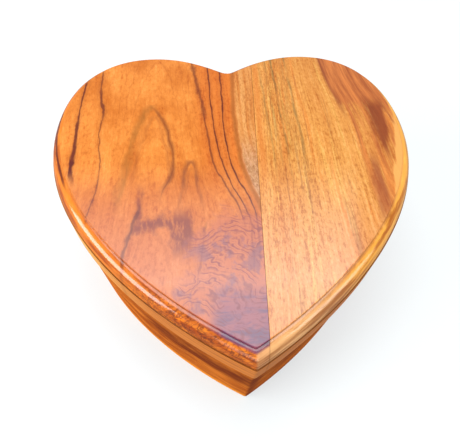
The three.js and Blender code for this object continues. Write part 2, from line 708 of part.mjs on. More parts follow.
function addComb() {
  const z0 = CYLINDER_Z - COMB.thick / 2;
  const left = CYLINDER.from + 0.5 - NOTE_PITCH / 2;
  const right = left + NOTES * NOTE_PITCH;
  const sawHalf = 0.12;
  const plate = new THREE.Shape();
  plate.moveTo(left, COMB.front);
  plate.lineTo(right, COMB.front);
  plate.lineTo(right, COMB.rear);
  for (let note = NOTES - 1; note > 0; note -= 1) {
    // Saw cuts deepen from the treble to the bass end.
    const x = left + note * NOTE_PITCH;
    const depth = COMB.root + (note / NOTES) * 2.2;
    plate.lineTo(x + sawHalf, COMB.rear);
    plate.lineTo(x + sawHalf, depth);
    plate.lineTo(x - sawHalf, depth);
    plate.lineTo(x - sawHalf, COMB.rear);
  }
  plate.lineTo(left, COMB.rear);
  const holes = COMB_SCREWS.map((x) => post(x, -15.4, 1.25, 0, 20, 14));
  piece(movement, "comb", cut(slab(plate, z0, z0 + COMB.thick), ...holes), springSteel);
  COMB_SCREWS.forEach((x, i) => {
    const down = screw(2, 1.1, 1, 5).rotateX(Math.PI);
    piece(movement, `comb_screw_${i + 1}`, down.translate(x, -15.4, z0 + COMB.thick), steel);
  });
}

// ---------------------------------------------------------------- bedplate
function addBedplate() {
  const { x, y, thick } = PLATE;
  const r = 3;
  const outline = new THREE.Shape();
  outline.absarc(x - r, y - r, r, 0, Math.PI / 2, false);
  outline.absarc(-x + r, y - r, r, Math.PI / 2, Math.PI, false);
  outline.absarc(-x + r, -y + r, r, Math.PI, 1.5 * Math.PI, false);
  outline.absarc(x - r, -y + r, r, 1.5 * Math.PI, 2 * Math.PI, false);
  const plate = slab(outline, 0, thick, 5);
  const bosses = MOVEMENT_SCREWS.map(([bx, by]) => post(bx, by, 2.6, thick - 0.2, 5, 16));
  const combSeat = block(1, -18, thick - 0.2, 20.5, -13.4, CYLINDER_Z - COMB.thick / 2);
  const holes = [
    post(SPRING_X, 0, ARBOR_R + 0.15, -1, 3, 20),
    ...MOVEMENT_SCREWS.map(([bx, by]) => post(bx, by, 1.45, -1, 4.2, 12)),
    ...COMB_SCREWS.map((cx) => post(cx, -15.4, 1.15, 3, 12, 12)),
  ];
  piece(movement, "bedplate", cut(join(plate, combSeat, ...bosses), ...holes), castPlate);
  MOVEMENT_SCREWS.forEach(([bx, by], i) => {
    const fixing = screw(2.8, 1.8, 1.3, PANEL_THICK + 3.8).translate(bx, by, -PANEL_THICK);
    piece(movement, `movement_screw_${i + 1}`, fixing, steel);
  });
}

// ---------------------------------------------------------------- governor
const FAN = { z0: 14.6, z1: 17.8, r: 4.6 };

function addGovernor() {
  const z = CYLINDER_Z;
  const bearing = rodX(GOVERNOR_Y, z, 0.6, 16, 26, 12);
  const frame = cut(
    join(
      block(17, 7.9, PLATE.thick, 24.8, 18.6, 3),
      block(17, 7.9, 2.8, 18, 11, 12),
      block(23.8, 7.9, 2.8, 24.8, 16.6, 14.1),
      block(17, 13, 2.8, 18, 16.6, 14.1),
      block(17, 13, 13, 24.8, 16.6, 14.1),
    ),
    bearing,
    post(WORM.x, WORM_Y, 0.6, 2, 20, 12),
  );
  piece(movement, "governor_frame", frame, nylon);

  // Pinion and worm wheel on one arbor. The wheel's teeth lean to suit the worm's thread.
  const wormPitch = Math.PI * WORM.module;
  const wheelR = (WORM.module * WORM.teeth) / 2;
  const wheelWidth = 1.6;
  const lean = Math.atan(wormPitch / (2 * Math.PI * WORM.r));
  const twist = (wheelWidth * Math.tan(lean)) / wheelR;
  const wormWheel = gearX(
    gearOutline(WORM.teeth, WORM.module, 0.22),
    GOVERNOR_Y,
    z,
    WORM.x - wheelWidth / 2,
    WORM.x + wheelWidth / 2,
    0,
    -twist,
  );
  const pinion = gearX(
    gearOutline(TRAIN.pinion, TRAIN.module),
    GOVERNOR_Y,
    z,
    19.2,
    20.8,
    Math.PI + Math.PI / TRAIN.pinion,
  );
  const shaft = rodX(GOVERNOR_Y, z, 0.5, 17.2, 24.6, 12);
  const collar = rodX(GOVERNOR_Y, z, 1.1, 18.3, 23.5, 12);
  piece(movement, "governor_wheel", join(shaft, collar, pinion, wormWheel), brass);

  piece(movement, "worm_arbor", worm(wormPitch, z), steel);
  const hub = post(WORM.x, WORM_Y, 1.4, FAN.z0, FAN.z1, 16);
  const blade = block(-FAN.r, -0.35, FAN.z0, FAN.r, 0.35, FAN.z1 - 0.4);
  blade.rotateZ(Math.PI / 4).translate(WORM.x, WORM_Y, 0);
  const shaftHole = post(WORM.x, WORM_Y, 0.6, 0, 30, 12);
  piece(movement, "fan", cut(join(hub, blade), shaftHole), nylon);
}

// A single-start right-hand thread on a thin upright shaft.
function worm(pitch, middleZ) {
  const turns = 5;
  const perTurn = 12;
  const steps = turns * perTurn;
  const [rootR, tipR] = [WORM.r - 0.45, WORM.r + 0.3];
  // At the middle height the thread's gap faces the wheel, so that a wheel tooth sits in it.
  const facing = -Math.PI / 2;
  const rings = [];
  for (let i = 0; i <= steps; i += 1) {
    const turn = facing + (2 * Math.PI * i) / perTurn;
    const z = middleZ + pitch * (i / perTurn - turns / 2);
    const at = (r, dz) =>
      new THREE.Vector3(WORM.x + r * Math.cos(turn), WORM_Y + r * Math.sin(turn), z + dz);
    rings.push([
      at(rootR - 0.1, 0.36),
      at(tipR, 0.14),
      at(tipR, -0.14),
      at(rootR - 0.1, -0.36),
    ]);
  }
  const core = post(WORM.x, WORM_Y, rootR, middleZ - 3.6, 12.8, 16);
  const shaft = post(WORM.x, WORM_Y, 0.5, 2.3, FAN.z1, 12);
  return join(loft(rings), core, shaft);
}

// ---------------------------------------------------------------- stop lever
// The lid's felt holds the finger down, and with it the tail on the fan's hub.
function addStopLever() {
  const [x0, x1] = [22.5, 23.7];
  const fingerTop = LID_Z + LID_RECESS - FELT - FIT - FLOOR;
  const arm = polygon(
    [-0.6, 17.3],
    [0.8, 16.7],
    [2.6, 18.1],
    [19.6, 18.1],
    [19.6, fingerTop - 0.6],
    [19.2, fingerTop],
    [18.8, fingerTop],
    [18.4, fingerTop - 0.6],
    [18.4, 19],
    [1.6, 19],
  );
  const eye = rodX(LEVER_PIVOT.x, LEVER_PIVOT.y, 1.3, x0, x1, 16);
  const hole = rodX(LEVER_PIVOT.x, LEVER_PIVOT.y, 0.6, x0 - 1, x1 + 1, 12);
  piece(movement, "stop_lever", cut(join(slabX(arm, x0, x1), eye), hole), brass);
  const pin = join(
    rodX(LEVER_PIVOT.x, LEVER_PIVOT.y, 0.5, 20.8, 24, 12),
    rodX(LEVER_PIVOT.x, LEVER_PIVOT.y, 0.9, 24, 24.5, 12),
  );
  piece(movement, "stop_lever_pin", pin, steel);
}

addCase();
addChamber();
addHinges();
addLid();
addBedplate();
addSpringGroup();
addDriveGroup();
addCylinderGroup();
addComb();
addGovernor();
addStopLever();

// The origin is under the middle of the whole box, hinges included.
box.position.y = -(TIP_Y + HINGE_Y + KNUCKLE_R) / 2;

export default box;
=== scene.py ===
# A heart-shaped wind-up music box in lacquered hardwood.
# The fixed frame brings every CAD part. This script gives each one a finer surface and a material,
# and adds a pale floor, soft studio light and the camera. Blender works in metres. The dimensions
# just below, and the coordinates in materials, are in millimetres.
import json
import math
import random

import bmesh
import bpy
from mathutils import Matrix, Vector

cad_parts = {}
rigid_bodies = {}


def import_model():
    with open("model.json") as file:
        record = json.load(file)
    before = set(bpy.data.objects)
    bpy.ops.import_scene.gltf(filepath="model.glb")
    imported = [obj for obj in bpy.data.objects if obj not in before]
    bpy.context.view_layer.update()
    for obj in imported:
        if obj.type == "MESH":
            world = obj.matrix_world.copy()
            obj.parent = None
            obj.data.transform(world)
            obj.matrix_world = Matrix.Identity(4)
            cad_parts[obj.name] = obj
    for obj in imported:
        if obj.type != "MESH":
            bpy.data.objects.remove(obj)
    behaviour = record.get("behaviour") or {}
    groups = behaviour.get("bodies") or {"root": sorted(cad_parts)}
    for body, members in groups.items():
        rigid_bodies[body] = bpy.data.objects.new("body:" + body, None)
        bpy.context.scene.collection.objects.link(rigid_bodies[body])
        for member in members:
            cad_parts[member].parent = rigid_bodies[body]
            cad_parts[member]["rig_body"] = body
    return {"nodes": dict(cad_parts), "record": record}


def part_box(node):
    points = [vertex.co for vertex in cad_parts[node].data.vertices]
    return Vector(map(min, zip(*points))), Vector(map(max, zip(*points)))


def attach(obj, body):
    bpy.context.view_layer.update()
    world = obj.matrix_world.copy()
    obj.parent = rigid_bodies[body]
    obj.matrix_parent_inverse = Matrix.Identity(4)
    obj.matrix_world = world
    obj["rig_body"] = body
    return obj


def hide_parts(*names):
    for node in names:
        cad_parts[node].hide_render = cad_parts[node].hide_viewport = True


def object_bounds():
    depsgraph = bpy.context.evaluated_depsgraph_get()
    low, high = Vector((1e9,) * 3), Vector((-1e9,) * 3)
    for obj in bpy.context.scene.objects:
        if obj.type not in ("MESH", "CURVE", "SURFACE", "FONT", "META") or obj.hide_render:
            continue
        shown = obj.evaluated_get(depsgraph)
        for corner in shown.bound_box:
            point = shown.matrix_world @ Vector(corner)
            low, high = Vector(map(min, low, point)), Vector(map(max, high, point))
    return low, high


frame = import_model()
cad_low, cad_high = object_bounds()
MM = 0.001

# ------------ dimensions, in millimetres
HALF = (cad_high.x - cad_low.x) / 2 / MM
LID_LOW, LID_HIGH = (v.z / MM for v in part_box("lid_board_left"))
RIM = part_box("case_wall")[1].z / MM
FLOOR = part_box("bottom_panel")[1].z / MM
PANEL_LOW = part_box("bottom_panel")[0].z / MM
LID_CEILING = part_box("lid_felt")[1].z / MM
WALL = 8
REBATE = 5
PANEL_FIT = 0.3
CASE_INSET_TOP = 0.6
CASE_INSET_BOTTOM = 2.2

# Pockets and holes in the wood.
HINGE_POCKET = 18.4
POCKET_DEEP = 0.9
PILOT_R = 0.95
PANEL_HOLE_R = 1.05
MOVEMENT_HOLE_R = 1.6
KEY_HOLE_R = 3

# The lid's moulded edge.
BAND_TOP = LID_HIGH - 5.3
QUIRK = 0.35
STEP = 1.0
ROUND_TOP = LID_HIGH - STEP
TOP_INSET = 4.0
SEAM_X = 7.0
SEAM_TURN = math.radians(-3.2)
GLUE = 0.1

# The heart outline, as shares of the half width. Its own y runs from the widest point's row.
CLEFT_Y = 0.862 * HALF
LOBE = Vector((0.453 * HALF, 1.02 * HALF))
WIDEST_Y = 0.364 * HALF
TIP_Y = -0.97 * HALF
TIP_SLOPE = math.radians(28)
TIP_REACH = 0.436
TIP_ROUND = 0.7
SIDE_POINTS = 150
OUTLINE_Y = cad_low.y / MM - TIP_Y


# ------------ heart outline
def bezier(a, b, c, d, steps):
    """Points on a cubic from a to d, with its direction at each."""
    points = []
    for i in range(steps + 1):
        t = i / steps
        s = 1 - t
        place = a * s**3 + b * (3 * s * s * t) + c * (3 * s * t * t) + d * t**3
        along = (b - a) * (s * s) + (c - b) * (2 * s * t) + (d - c) * (t * t)
        points.append((place, along.normalized()))
    return points


def half_outline(inset):
    """Right half of the heart, moved inwards, from the cleft to the mitre at the tip."""
    cleft = Vector((0, CLEFT_Y))
    side = Vector((HALF, WIDEST_Y))
    tip = Vector((0, TIP_Y))
    toward = Vector((math.cos(TIP_SLOPE), math.sin(TIP_SLOPE))) * TIP_REACH * HALF
    corners = [
        (cleft, cleft + Vector((0.03 * HALF, 0)), LOBE - Vector((0.255 * HALF, 0)), LOBE),
        (LOBE, LOBE + Vector((0.293 * HALF, 0)), side + Vector((0, 0.465 * HALF)), side),
        (side, side - Vector((0, 0.648 * HALF)), tip + toward, tip),
    ]
    points = []
    for a, b, c, d in corners:
        for place, along in bezier(a, b, c, d, 60)[1 if points else 0 :]:
            points.append(place + Vector((along.y, -along.x)) * inset)
    last = next(i for i, p in enumerate(points) if i > 60 and p.x <= 0)
    before, after = points[last - 1], points[last]
    mitre = before.lerp(after, before.x / (before.x - after.x))
    return points[:last] + [Vector((0, mitre.y))]


def respace(points, count):
    """The same line with `count` points spaced evenly along it."""
    lengths = [0.0]
    for a, b in zip(points, points[1:]):
        lengths.append(lengths[-1] + (b - a).length)
    spaced = []
    j = 0
    for i in range(count):
        goal = lengths[-1] * i / (count - 1)
        while j < len(points) - 2 and lengths[j + 1] < goal:
            j += 1
        share = (goal - lengths[j]) / (lengths[j + 1] - lengths[j])
        spaced.append(points[j].lerp(points[j + 1], share))
    return spaced


def heart_ring(inset, z):
    """The whole outline at one height, its tip eased to a small radius."""
    right = half_outline(inset)
    tip = right[-1]
    far = [p for p in right if (p - tip).length > TIP_ROUND]
    start = tip + (far[-1] - tip).normalized() * TIP_ROUND
    ease = []
    for t in (0.0, 0.17, 0.34, 0.5):
        mirrored = Vector((-start.x, start.y))
        ease.append(start * (1 - t) ** 2 + tip * (2 * t * (1 - t)) + mirrored * t * t)
    right = respace(far + [start], SIDE_POINTS) + ease[1:]
    right[0].x = 0
    right[-1].x = 0
    left = [Vector((-p.x, p.y)) for p in right[1:-1]]
    ring = [right[0]] + left + right[:0:-1]
    return [Vector((p.x, p.y + OUTLINE_Y, z)) * MM for p in ring]


# ------------ mesh helpers
def add_object(name, bm):
    """Links the finished mesh to the scene as an object."""
    mesh = bpy.data.meshes.new(name)
    bm.to_mesh(mesh)
    bm.free()
    made = bpy.data.objects.new(name, mesh)
    bpy.context.scene.collection.objects.link(made)
    return made


def new_piece(name, bm, body, node):
    """A piece that rides on a body and stands for the CAD node."""
    piece = add_object(name, bm)
    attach(piece, body)
    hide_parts(node)
    return piece


def smooth(piece, degrees):
    """Smooth shading, with a sharp edge wherever two faces meet at more than the angle."""
    for polygon in piece.data.polygons:
        polygon.use_smooth = True
    piece.data.set_sharp_from_angle(angle=math.radians(degrees))


def skin(rings, closed=False):
    """Skin over a stack of rings, capped at both ends or, if closed, joined round on itself."""
    bm = bmesh.new()
    levels = [[bm.verts.new(p) for p in ring] for ring in rings]
    pairs = list(zip(levels, levels[1:]))
    if closed:
        pairs.append((levels[-1], levels[0]))
    for lower, upper in pairs:
        for i in range(len(lower)):
            j = (i + 1) % len(lower)
            bm.faces.new((lower[i], lower[j], upper[j], upper[i]))
    if not closed:
        bm.faces.new(levels[0])
        bm.faces.new(levels[-1])
    bmesh.ops.recalc_face_normals(bm, faces=bm.faces)
    return bm


def add_box(bm, low, high):
    """A box from its two corners, in millimetres."""
    low, high = Vector(low) * MM, Vector(high) * MM
    place = Matrix.LocRotScale((low + high) / 2, None, high - low)
    bmesh.ops.create_cube(bm, size=1, matrix=place)


def add_hole(bm, node, radius, z0, z1, segments=24):
    """A cutter for a round hole on the upright axis of a CAD node, in millimetres."""
    low, high = (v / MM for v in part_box(node))
    centre = Vector(((low.x + high.x) / 2, (low.y + high.y) / 2, (z0 + z1) / 2))
    place = Matrix.Translation(centre * MM)
    size = dict(radius1=radius * MM, radius2=radius * MM, depth=(z1 - z0) * MM)
    bmesh.ops.create_cone(bm, cap_ends=True, segments=segments, matrix=place, **size)


def carve(piece, tool_bm):
    """Cuts a set of tools out of a piece."""
    tool = add_object("tool", tool_bm)
    mesh = tool.data
    cut = piece.modifiers.new("cut", "BOOLEAN")
    cut.operation = "DIFFERENCE"
    cut.solver = "EXACT"
    cut.object = tool
    apply_modifiers(piece)
    bpy.data.objects.remove(tool)
    bpy.data.meshes.remove(mesh)


def apply_modifiers(piece):
    graph = bpy.context.evaluated_depsgraph_get()
    graph.update()
    made = bpy.data.meshes.new_from_object(piece.evaluated_get(graph), depsgraph=graph)
    piece.modifiers.clear()
    piece.data = made


def ease_edges(piece, width):
    """Rounds every sharp edge by a small width, in millimetres."""
    bevel = piece.modifiers.new("bevel", "BEVEL")
    bevel.width = width * MM
    bevel.segments = 2
    bevel.limit_method = "ANGLE"
    bevel.angle_limit = math.radians(40)
    bevel.miter_outer = "MITER_ARC"
    apply_modifiers(piece)


def refined(node, bevel):
    """A clean copy of a CAD node with eased edges and smooth rounds, in place of the node."""
    bm = bmesh.new()
    bm.from_mesh(frame["nodes"][node].data)
    bmesh.ops.remove_doubles(bm, verts=bm.verts, dist=0.002 * MM)
    bmesh.ops.dissolve_limit(bm, angle_limit=math.radians(1), verts=bm.verts, edges=bm.edges)
    piece = new_piece(f"{node}_fine", bm, frame["nodes"][node]["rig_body"], node)
    ease_edges(piece, bevel)
    smooth(piece, 28)
    return piece


# ------------ node materials
class Look:
    """One node material. Colours are linear, coordinates are millimetres in the body's own frame."""

    def __init__(self, name, **sockets):
        self.material = bpy.data.materials.new(name)
        self.material.use_nodes = True
        self.tree = self.material.node_tree
        self.bsdf = self.tree.nodes["Principled BSDF"]
        for socket, value in sockets.items():
            self.bsdf.inputs[socket.replace("_", " ")].default_value = value
        place = self.node("TexCoord").outputs["Object"]
        self.place = self.node("VectorMath", {0: place, "Scale": 1 / MM}, operation="SCALE").outputs[0]
        self.x, self.y, self.z = self.node("SeparateXYZ", {0: self.place}).outputs

    def node(self, kind, inputs=None, **settings):
        made = self.tree.nodes.new("ShaderNode" + kind)
        for key, value in settings.items():
            setattr(made, key, value)
        for socket, value in (inputs or {}).items():
            self.feed(made.inputs[socket], value)
        return made

    def feed(self, socket, value):
        if isinstance(value, bpy.types.NodeSocket):
            self.tree.links.new(value, socket)
        else:
            socket.default_value = value

    def math(self, operation, a, b=0.0, c=0.0):
        made = self.node("Math", {0: a, 1: b, 2: c}, operation=operation)
        return made.outputs[0]

    def total(self, first, *others):
        for value in others:
            first = self.math("ADD", first, value)
        return first

    def product(self, first, *others):
        for value in others:
            first = self.math("MULTIPLY", first, value)
        return first

    def either(self, first, *others):
        for value in others:
            first = self.math("MAXIMUM", first, value)
        return first

    def mix(self, factor, a, b, blend="MIX"):
        inputs = {0: factor, 6: self.colour(a), 7: self.colour(b)}
        return self.node("Mix", inputs, data_type="RGBA", blend_type=blend).outputs[2]

    def stain(self, colour, tone, *masks):
        """Another tone laid over the colour, as far as the product of the masks."""
        return self.mix(self.product(*masks), colour, tone)

    def tint(self, colour, tone, *masks):
        """The colour multiplied by a tone, as far as the product of the masks."""
        return self.mix(self.product(*masks), colour, tone, "MULTIPLY")

    @staticmethod
    def colour(value):
        return (*value, 1.0) if isinstance(value, tuple) else value

    def between(self, value, low, high, to_low=0.0, to_high=1.0):
        """A smooth step from to_low at low to to_high at high."""
        inputs = {0: value, 1: low, 2: high, 3: to_low, 4: to_high}
        return self.node("MapRange", inputs, interpolation_type="SMOOTHSTEP").outputs[0]

    def window(self, value, low, low_full, high_full, high):
        """1 from low_full to high_full, easing to 0 at low and high."""
        return self.product(self.between(value, low, low_full), self.between(value, high, high_full))

    def noise(self, stretch, detail=2.0, roughness=0.5, place=None, distortion=0.0):
        """Noise from 0 to 1 with `stretch` cycles per millimetre along x, y and z."""
        sized = self.node("VectorMath", {0: place or self.place, 1: stretch}, operation="MULTIPLY")
        inputs = {"Vector": sized.outputs[0], "Scale": 1.0, "Detail": detail}
        inputs |= {"Roughness": roughness, "Distortion": distortion}
        return self.node("TexNoise", inputs, normalize=True).outputs["Fac"]

    def swing(self, noise, reach):
        """Noise turned into an offset from -reach to +reach."""
        return self.math("MULTIPLY_ADD", noise, 2 * reach, -reach)

    def curve(self, value, points, reach=70.0):
        """A smooth curve through (from, to) points, both within plus or minus `reach`."""
        made = self.node("FloatCurve", {1: self.math("MULTIPLY_ADD", value, 0.5 / reach, 0.5)})
        line = made.mapping.curves[0]
        ordered = sorted(points)
        shares = [(a / 2 / reach + 0.5, b / 2 / reach + 0.5) for a, b in ordered]
        shares = [(0.0, shares[0][1])] + shares + [(1.0, shares[-1][1])]
        while len(line.points) < len(shares):
            line.points.new(0.5, 0.5)
        for point, (a, b) in zip(line.points, shares):
            point.location = (a, b)
        made.mapping.update()
        return self.math("MULTIPLY_ADD", made.outputs[0], 2 * reach, -reach)

    def past(self, value, line, *offsets):
        """How far value lies beyond a line, with any offsets added."""
        return self.total(self.math("SUBTRACT", value, line), *offsets)

    def band(self, distance, half_width, softness):
        """1 within half_width of a line and falling to 0 over the softness."""
        near = self.math("SUBTRACT", half_width, self.math("ABSOLUTE", distance))
        edge = self.math("ADD", self.math("DIVIDE", near, softness), 1.0)
        return self.math("SMOOTH_MIN", self.math("MAXIMUM", edge, 0.0), 1.0, 0.3)

    def stretch_between(self, value, low, high):
        """value as a share of the way from one curve to the other."""
        return self.math("DIVIDE", self.past(value, low), self.past(high, low))

    def vector(self, x, y, z):
        return self.node("CombineXYZ", {0: x, 1: y, 2: z}).outputs[0]

    def bump(self, height, strength, depth):
        """Adds a relief of `depth` millimetres on top of any relief already there."""
        made = self.node("Bump", {"Height": height, "Strength": strength, "Distance": depth * MM})
        normal = self.bsdf.inputs["Normal"]
        if normal.links:
            self.tree.links.new(normal.links[0].from_socket, made.inputs["Normal"])
        self.tree.links.new(made.outputs[0], normal)

    def paint(self, colour, roughness=None):
        self.feed(self.bsdf.inputs["Base Color"], self.colour(colour))
        if roughness is not None:
            self.feed(self.bsdf.inputs["Roughness"], roughness)
        return self.material


# ------------ woods
LACQUER = dict(Coat_Roughness=0.12, Specular_IOR_Level=0.05)
THIN_LACQUER = dict(Coat_Weight=0.05, Coat_Roughness=0.25, Specular_IOR_Level=0.0)
LACQUERED_ROUGHNESS = 0.42
MAROON = (0.085, 0.005, 0.004)


def on_top(look):
    """1 on the lid's flat top and 0 on its moulded edge."""
    return look.between(look.z, ROUND_TOP - 0.3, ROUND_TOP)


def vein(look, drift, points, half_width, span, softness=0.25, raggedness=0.5):
    """A dark line whose x follows y through the given points, with a faint halo round it."""
    offset = look.past(look.x, look.curve(look.y, points), look.swing(drift, raggedness))
    swell = look.noise((0.1, 0.13, 0.1), 2)
    width = look.math("MULTIPLY_ADD", swell, half_width * 2.4, -half_width * 0.4)
    halo = look.product(look.band(offset, width, 1.6), 0.22)
    mask = look.either(look.band(offset, width, softness), halo)
    low, high = span
    return look.product(mask, look.window(look.y, low - 5, low + 4, high - 3, high + 3))


def arch(look, apex_x, apex_y, steepness, half_width, softness, lowest):
    """A pointed arch of one growth ring, its apex up and its legs running down the board."""
    across = look.past(look.x, apex_x, look.swing(look.noise((0.16, 0.07, 0.1), 3), 2.2))
    fall = look.product(across, across, steepness)
    lean = look.product(across, 2 * steepness)
    slope = look.math("SQRT", look.math("ADD", look.product(lean, lean), 1.0))
    distance = look.math("DIVIDE", look.past(look.total(look.y, fall), apex_y), slope)
    mottle = look.between(look.noise((0.5, 0.12, 0.3), 3, 0.6), 0.3, 0.62, 0.35, 1.0)
    reach = look.between(look.y, lowest - 7, lowest + 6)
    return look.product(look.band(distance, half_width, softness), mottle, reach)


def fine_grain(look, space, colour, dark, light, pores, streaky=0.75):
    """Broad and fine fibre streaks and short dark pores along the grain."""
    broad = look.noise((0.30, 0.015, 0.3), 3, 0.6, space)
    fibre = look.noise((1.0, 0.05, 1.0), 3, 0.7, space)
    speck = look.noise((0.9, 0.6, 0.9), 3, 0.75)
    shade = look.total(look.swing(broad, 0.45), look.swing(fibre, streaky), look.swing(speck, 0.7))
    colour = look.tint(colour, dark, look.between(shade, 0.0, 0.42))
    colour = look.tint(colour, light, look.between(shade, 0.0, -0.42))
    pore = look.between(look.noise((2.4, 0.50, 2.4), 2, 0.6, space), 0.50, 0.66)
    return look.tint(colour, (0.60, 0.42, 0.30), pore, pores)


def edge_tint(look, colour, round_colour, band_colour):
    """The moulded edge cuts across the board: the round and the band below it take other tones."""
    rounded = look.mix(0.75, colour, round_colour)
    along = look.noise((0.05, 0.05, 0.9), 4, 0.65)
    rounded = look.tint(rounded, (0.50, 0.30, 0.14), look.between(along, 0.44, 0.66))
    rounded = look.tint(rounded, (1.25, 1.35, 1.6), look.between(along, 0.42, 0.26))

    # Burl shows on the round left of the tip, and pale end grain right of it.
    left_tip = look.product(look.between(look.y, -34, -50), look.between(look.x, 1.0, -0.5))
    mottle = look.noise((0.15, 0.15, 0.30), 5, 0.68, distortion=0.6)
    rounded = look.stain(rounded, (0.32, 0.055, 0.005), look.between(mottle, 0.44, 0.62), left_tip, 0.75)
    rounded = look.stain(rounded, (0.88, 0.20, 0.004), look.between(mottle, 0.46, 0.30), left_tip, 0.9)
    for stretch in ((0.16, 0.30, 0.35), (0.24, 0.45, 0.5)):
        swirl = look.past(look.noise(stretch, 3, 0.65, distortion=0.8), 0.5)
        rounded = look.stain(rounded, (0.13, 0.025, 0.006), look.band(swirl, 0.006, 0.03), left_tip, 0.8)
    right_tip = look.product(look.between(look.y, -38, -52), look.between(look.x, -0.5, 0.5))
    tan = look.mix(look.between(along, 0.36, 0.62), (0.72, 0.38, 0.165), (0.36, 0.135, 0.040))
    rounded = look.stain(rounded, tan, right_tip, 0.85)
    colour = look.mix(look.between(look.z, ROUND_TOP + 0.12, ROUND_TOP - 0.2), colour, rounded)

    layers = look.between(look.noise((0.03, 0.03, 1.1), 3, 0.65), 0.46, 0.70)
    banded = look.mix(look.between(look.y, -22, -50), band_colour, (0.54, 0.165, 0.020))
    banded = look.mix(layers, banded, (0.30, 0.080, 0.012))
    colour = look.mix(look.between(look.z, BAND_TOP + 0.25, BAND_TOP - 0.15), colour, banded)
    # Painted shade: a dark line in the quirk where the round meets the band.
    groove = look.band(look.past(look.z, BAND_TOP), 0.06, 0.14)
    return look.stain(colour, (0.10, 0.028, 0.008), groove, 0.75)


def lacquer_relief(look, space):
    """Glossy lacquer above the band, with slight orange peel and grain telegraphing through it."""
    glossy = look.between(look.z, BAND_TOP - 0.3, BAND_TOP + 3.2, 0.06, 1.0)
    look.feed(look.bsdf.inputs["Coat Weight"], glossy)
    look.bump(look.noise((0.10, 0.10, 0.10), 2), 0.3, 0.25)
    look.bump(look.noise((2.2, 0.12, 2.2), 2, 0.5, space), 0.15, 0.03)


def left_board_wood():
    """Orange wood with an arched figure, dark veins and burl near the tip."""
    look = Look("left_board_wood", **LACQUER)
    left_line = look.curve(look.y, [(49, -50), (30, -48), (0, -46), (-20, -47), (-60, -52)])
    right_points = [(60, -3.5), (30, -3.3), (12, -3.3), (-3.5, -1.1), (-14.4, 2.7), (-22, 4.2), (-60, 2.4)]
    share = look.stretch_between(look.x, left_line, look.curve(look.y, right_points))
    space = look.vector(look.product(share, 46), look.y, look.z)
    drift = look.noise((0.3, 0.13, 0.2), 4, 0.6)

    cloud = look.noise((0.05, 0.03, 0.03), 4, 0.65)
    colour = look.mix(look.between(cloud, 0.36, 0.64), (0.68, 0.228, 0.034), (0.50, 0.130, 0.009))
    near_veins = look.product(look.between(share, 0.72, 0.88), look.between(look.y, -20, 6))
    colour = look.stain(colour, (0.56, 0.135, 0.012), near_veins, 0.75)
    colour = look.stain(colour, (0.45, 0.106, 0.020), look.between(look.y, 6, -34), 0.85)
    colour = fine_grain(look, space, colour, (0.78, 0.58, 0.36), (1.12, 1.24, 1.7), 0.2, 0.4)
    colour = growth_rings(look, drift, colour)
    colour = edge_tint(look, colour, (0.68, 0.185, 0.008), (0.84, 0.40, 0.085))
    colour = look.mix(blotches(look), colour, (0.17, 0.020, 0.012))
    colour = look.mix(left_veins(look, drift), colour, MAROON)
    colour = pale_wedge(look, space, drift, colour)
    colour = burl(look, colour)
    look.paint(colour, LACQUERED_ROUGHNESS)
    lacquer_relief(look, space)
    return look.material


def growth_rings(look, drift, colour):
    """Faint nested rings and darker arches round the heart of the left board's figure."""
    across = look.total(look.x, 28.0, look.swing(drift, 2.0))
    nest = look.total(look.product(look.y, 0.10), look.product(across, across, 0.045))
    rings = look.noise((1.0, 0.0, 0.0), 3, 0.6, look.vector(nest, 0.0, 0.0))
    figure = look.product(look.between(rings, 0.50, 0.66), look.between(look.x, -2, -14), 0.5)
    colour = look.tint(colour, (0.76, 0.62, 0.42), figure)

    # The main arch has a soft olive left leg and a thin dark right one.
    left_leg = arch(look, -29.3, 29.2, 0.5, 0.5, 1.3, -14)
    colour = look.stain(colour, (0.26, 0.090, 0.010), left_leg, look.between(look.x, -26.5, -30), 0.62)
    leg_line = [(30, -29.6), (26, -27.0), (20, -24.6), (10, -22.4), (3, -21.6), (-3, -21.9), (-12, -25.4)]
    soft = vein(look, drift, leg_line, 0.35, (-9, 28), 0.9, 0.9)
    core = look.product(vein(look, drift, leg_line, 0.12, (-11, 20), 0.4, 0.9), 1.2)
    colour = look.stain(colour, (0.17, 0.032, 0.004), look.either(soft, core), 0.72)
    small_arches = look.either(
        look.product(arch(look, -28.8, 24, 0.8, 0.2, 1.0, -4), 0.3),
        look.product(arch(look, -16, 1.6, 1.2, 0.15, 0.9, -14), 0.8),
        look.product(arch(look, -15.6, -1.5, 1.5, 0.1, 0.6, -14), 0.35),
    )
    return look.mix(small_arches, colour, (0.22, 0.050, 0.010))


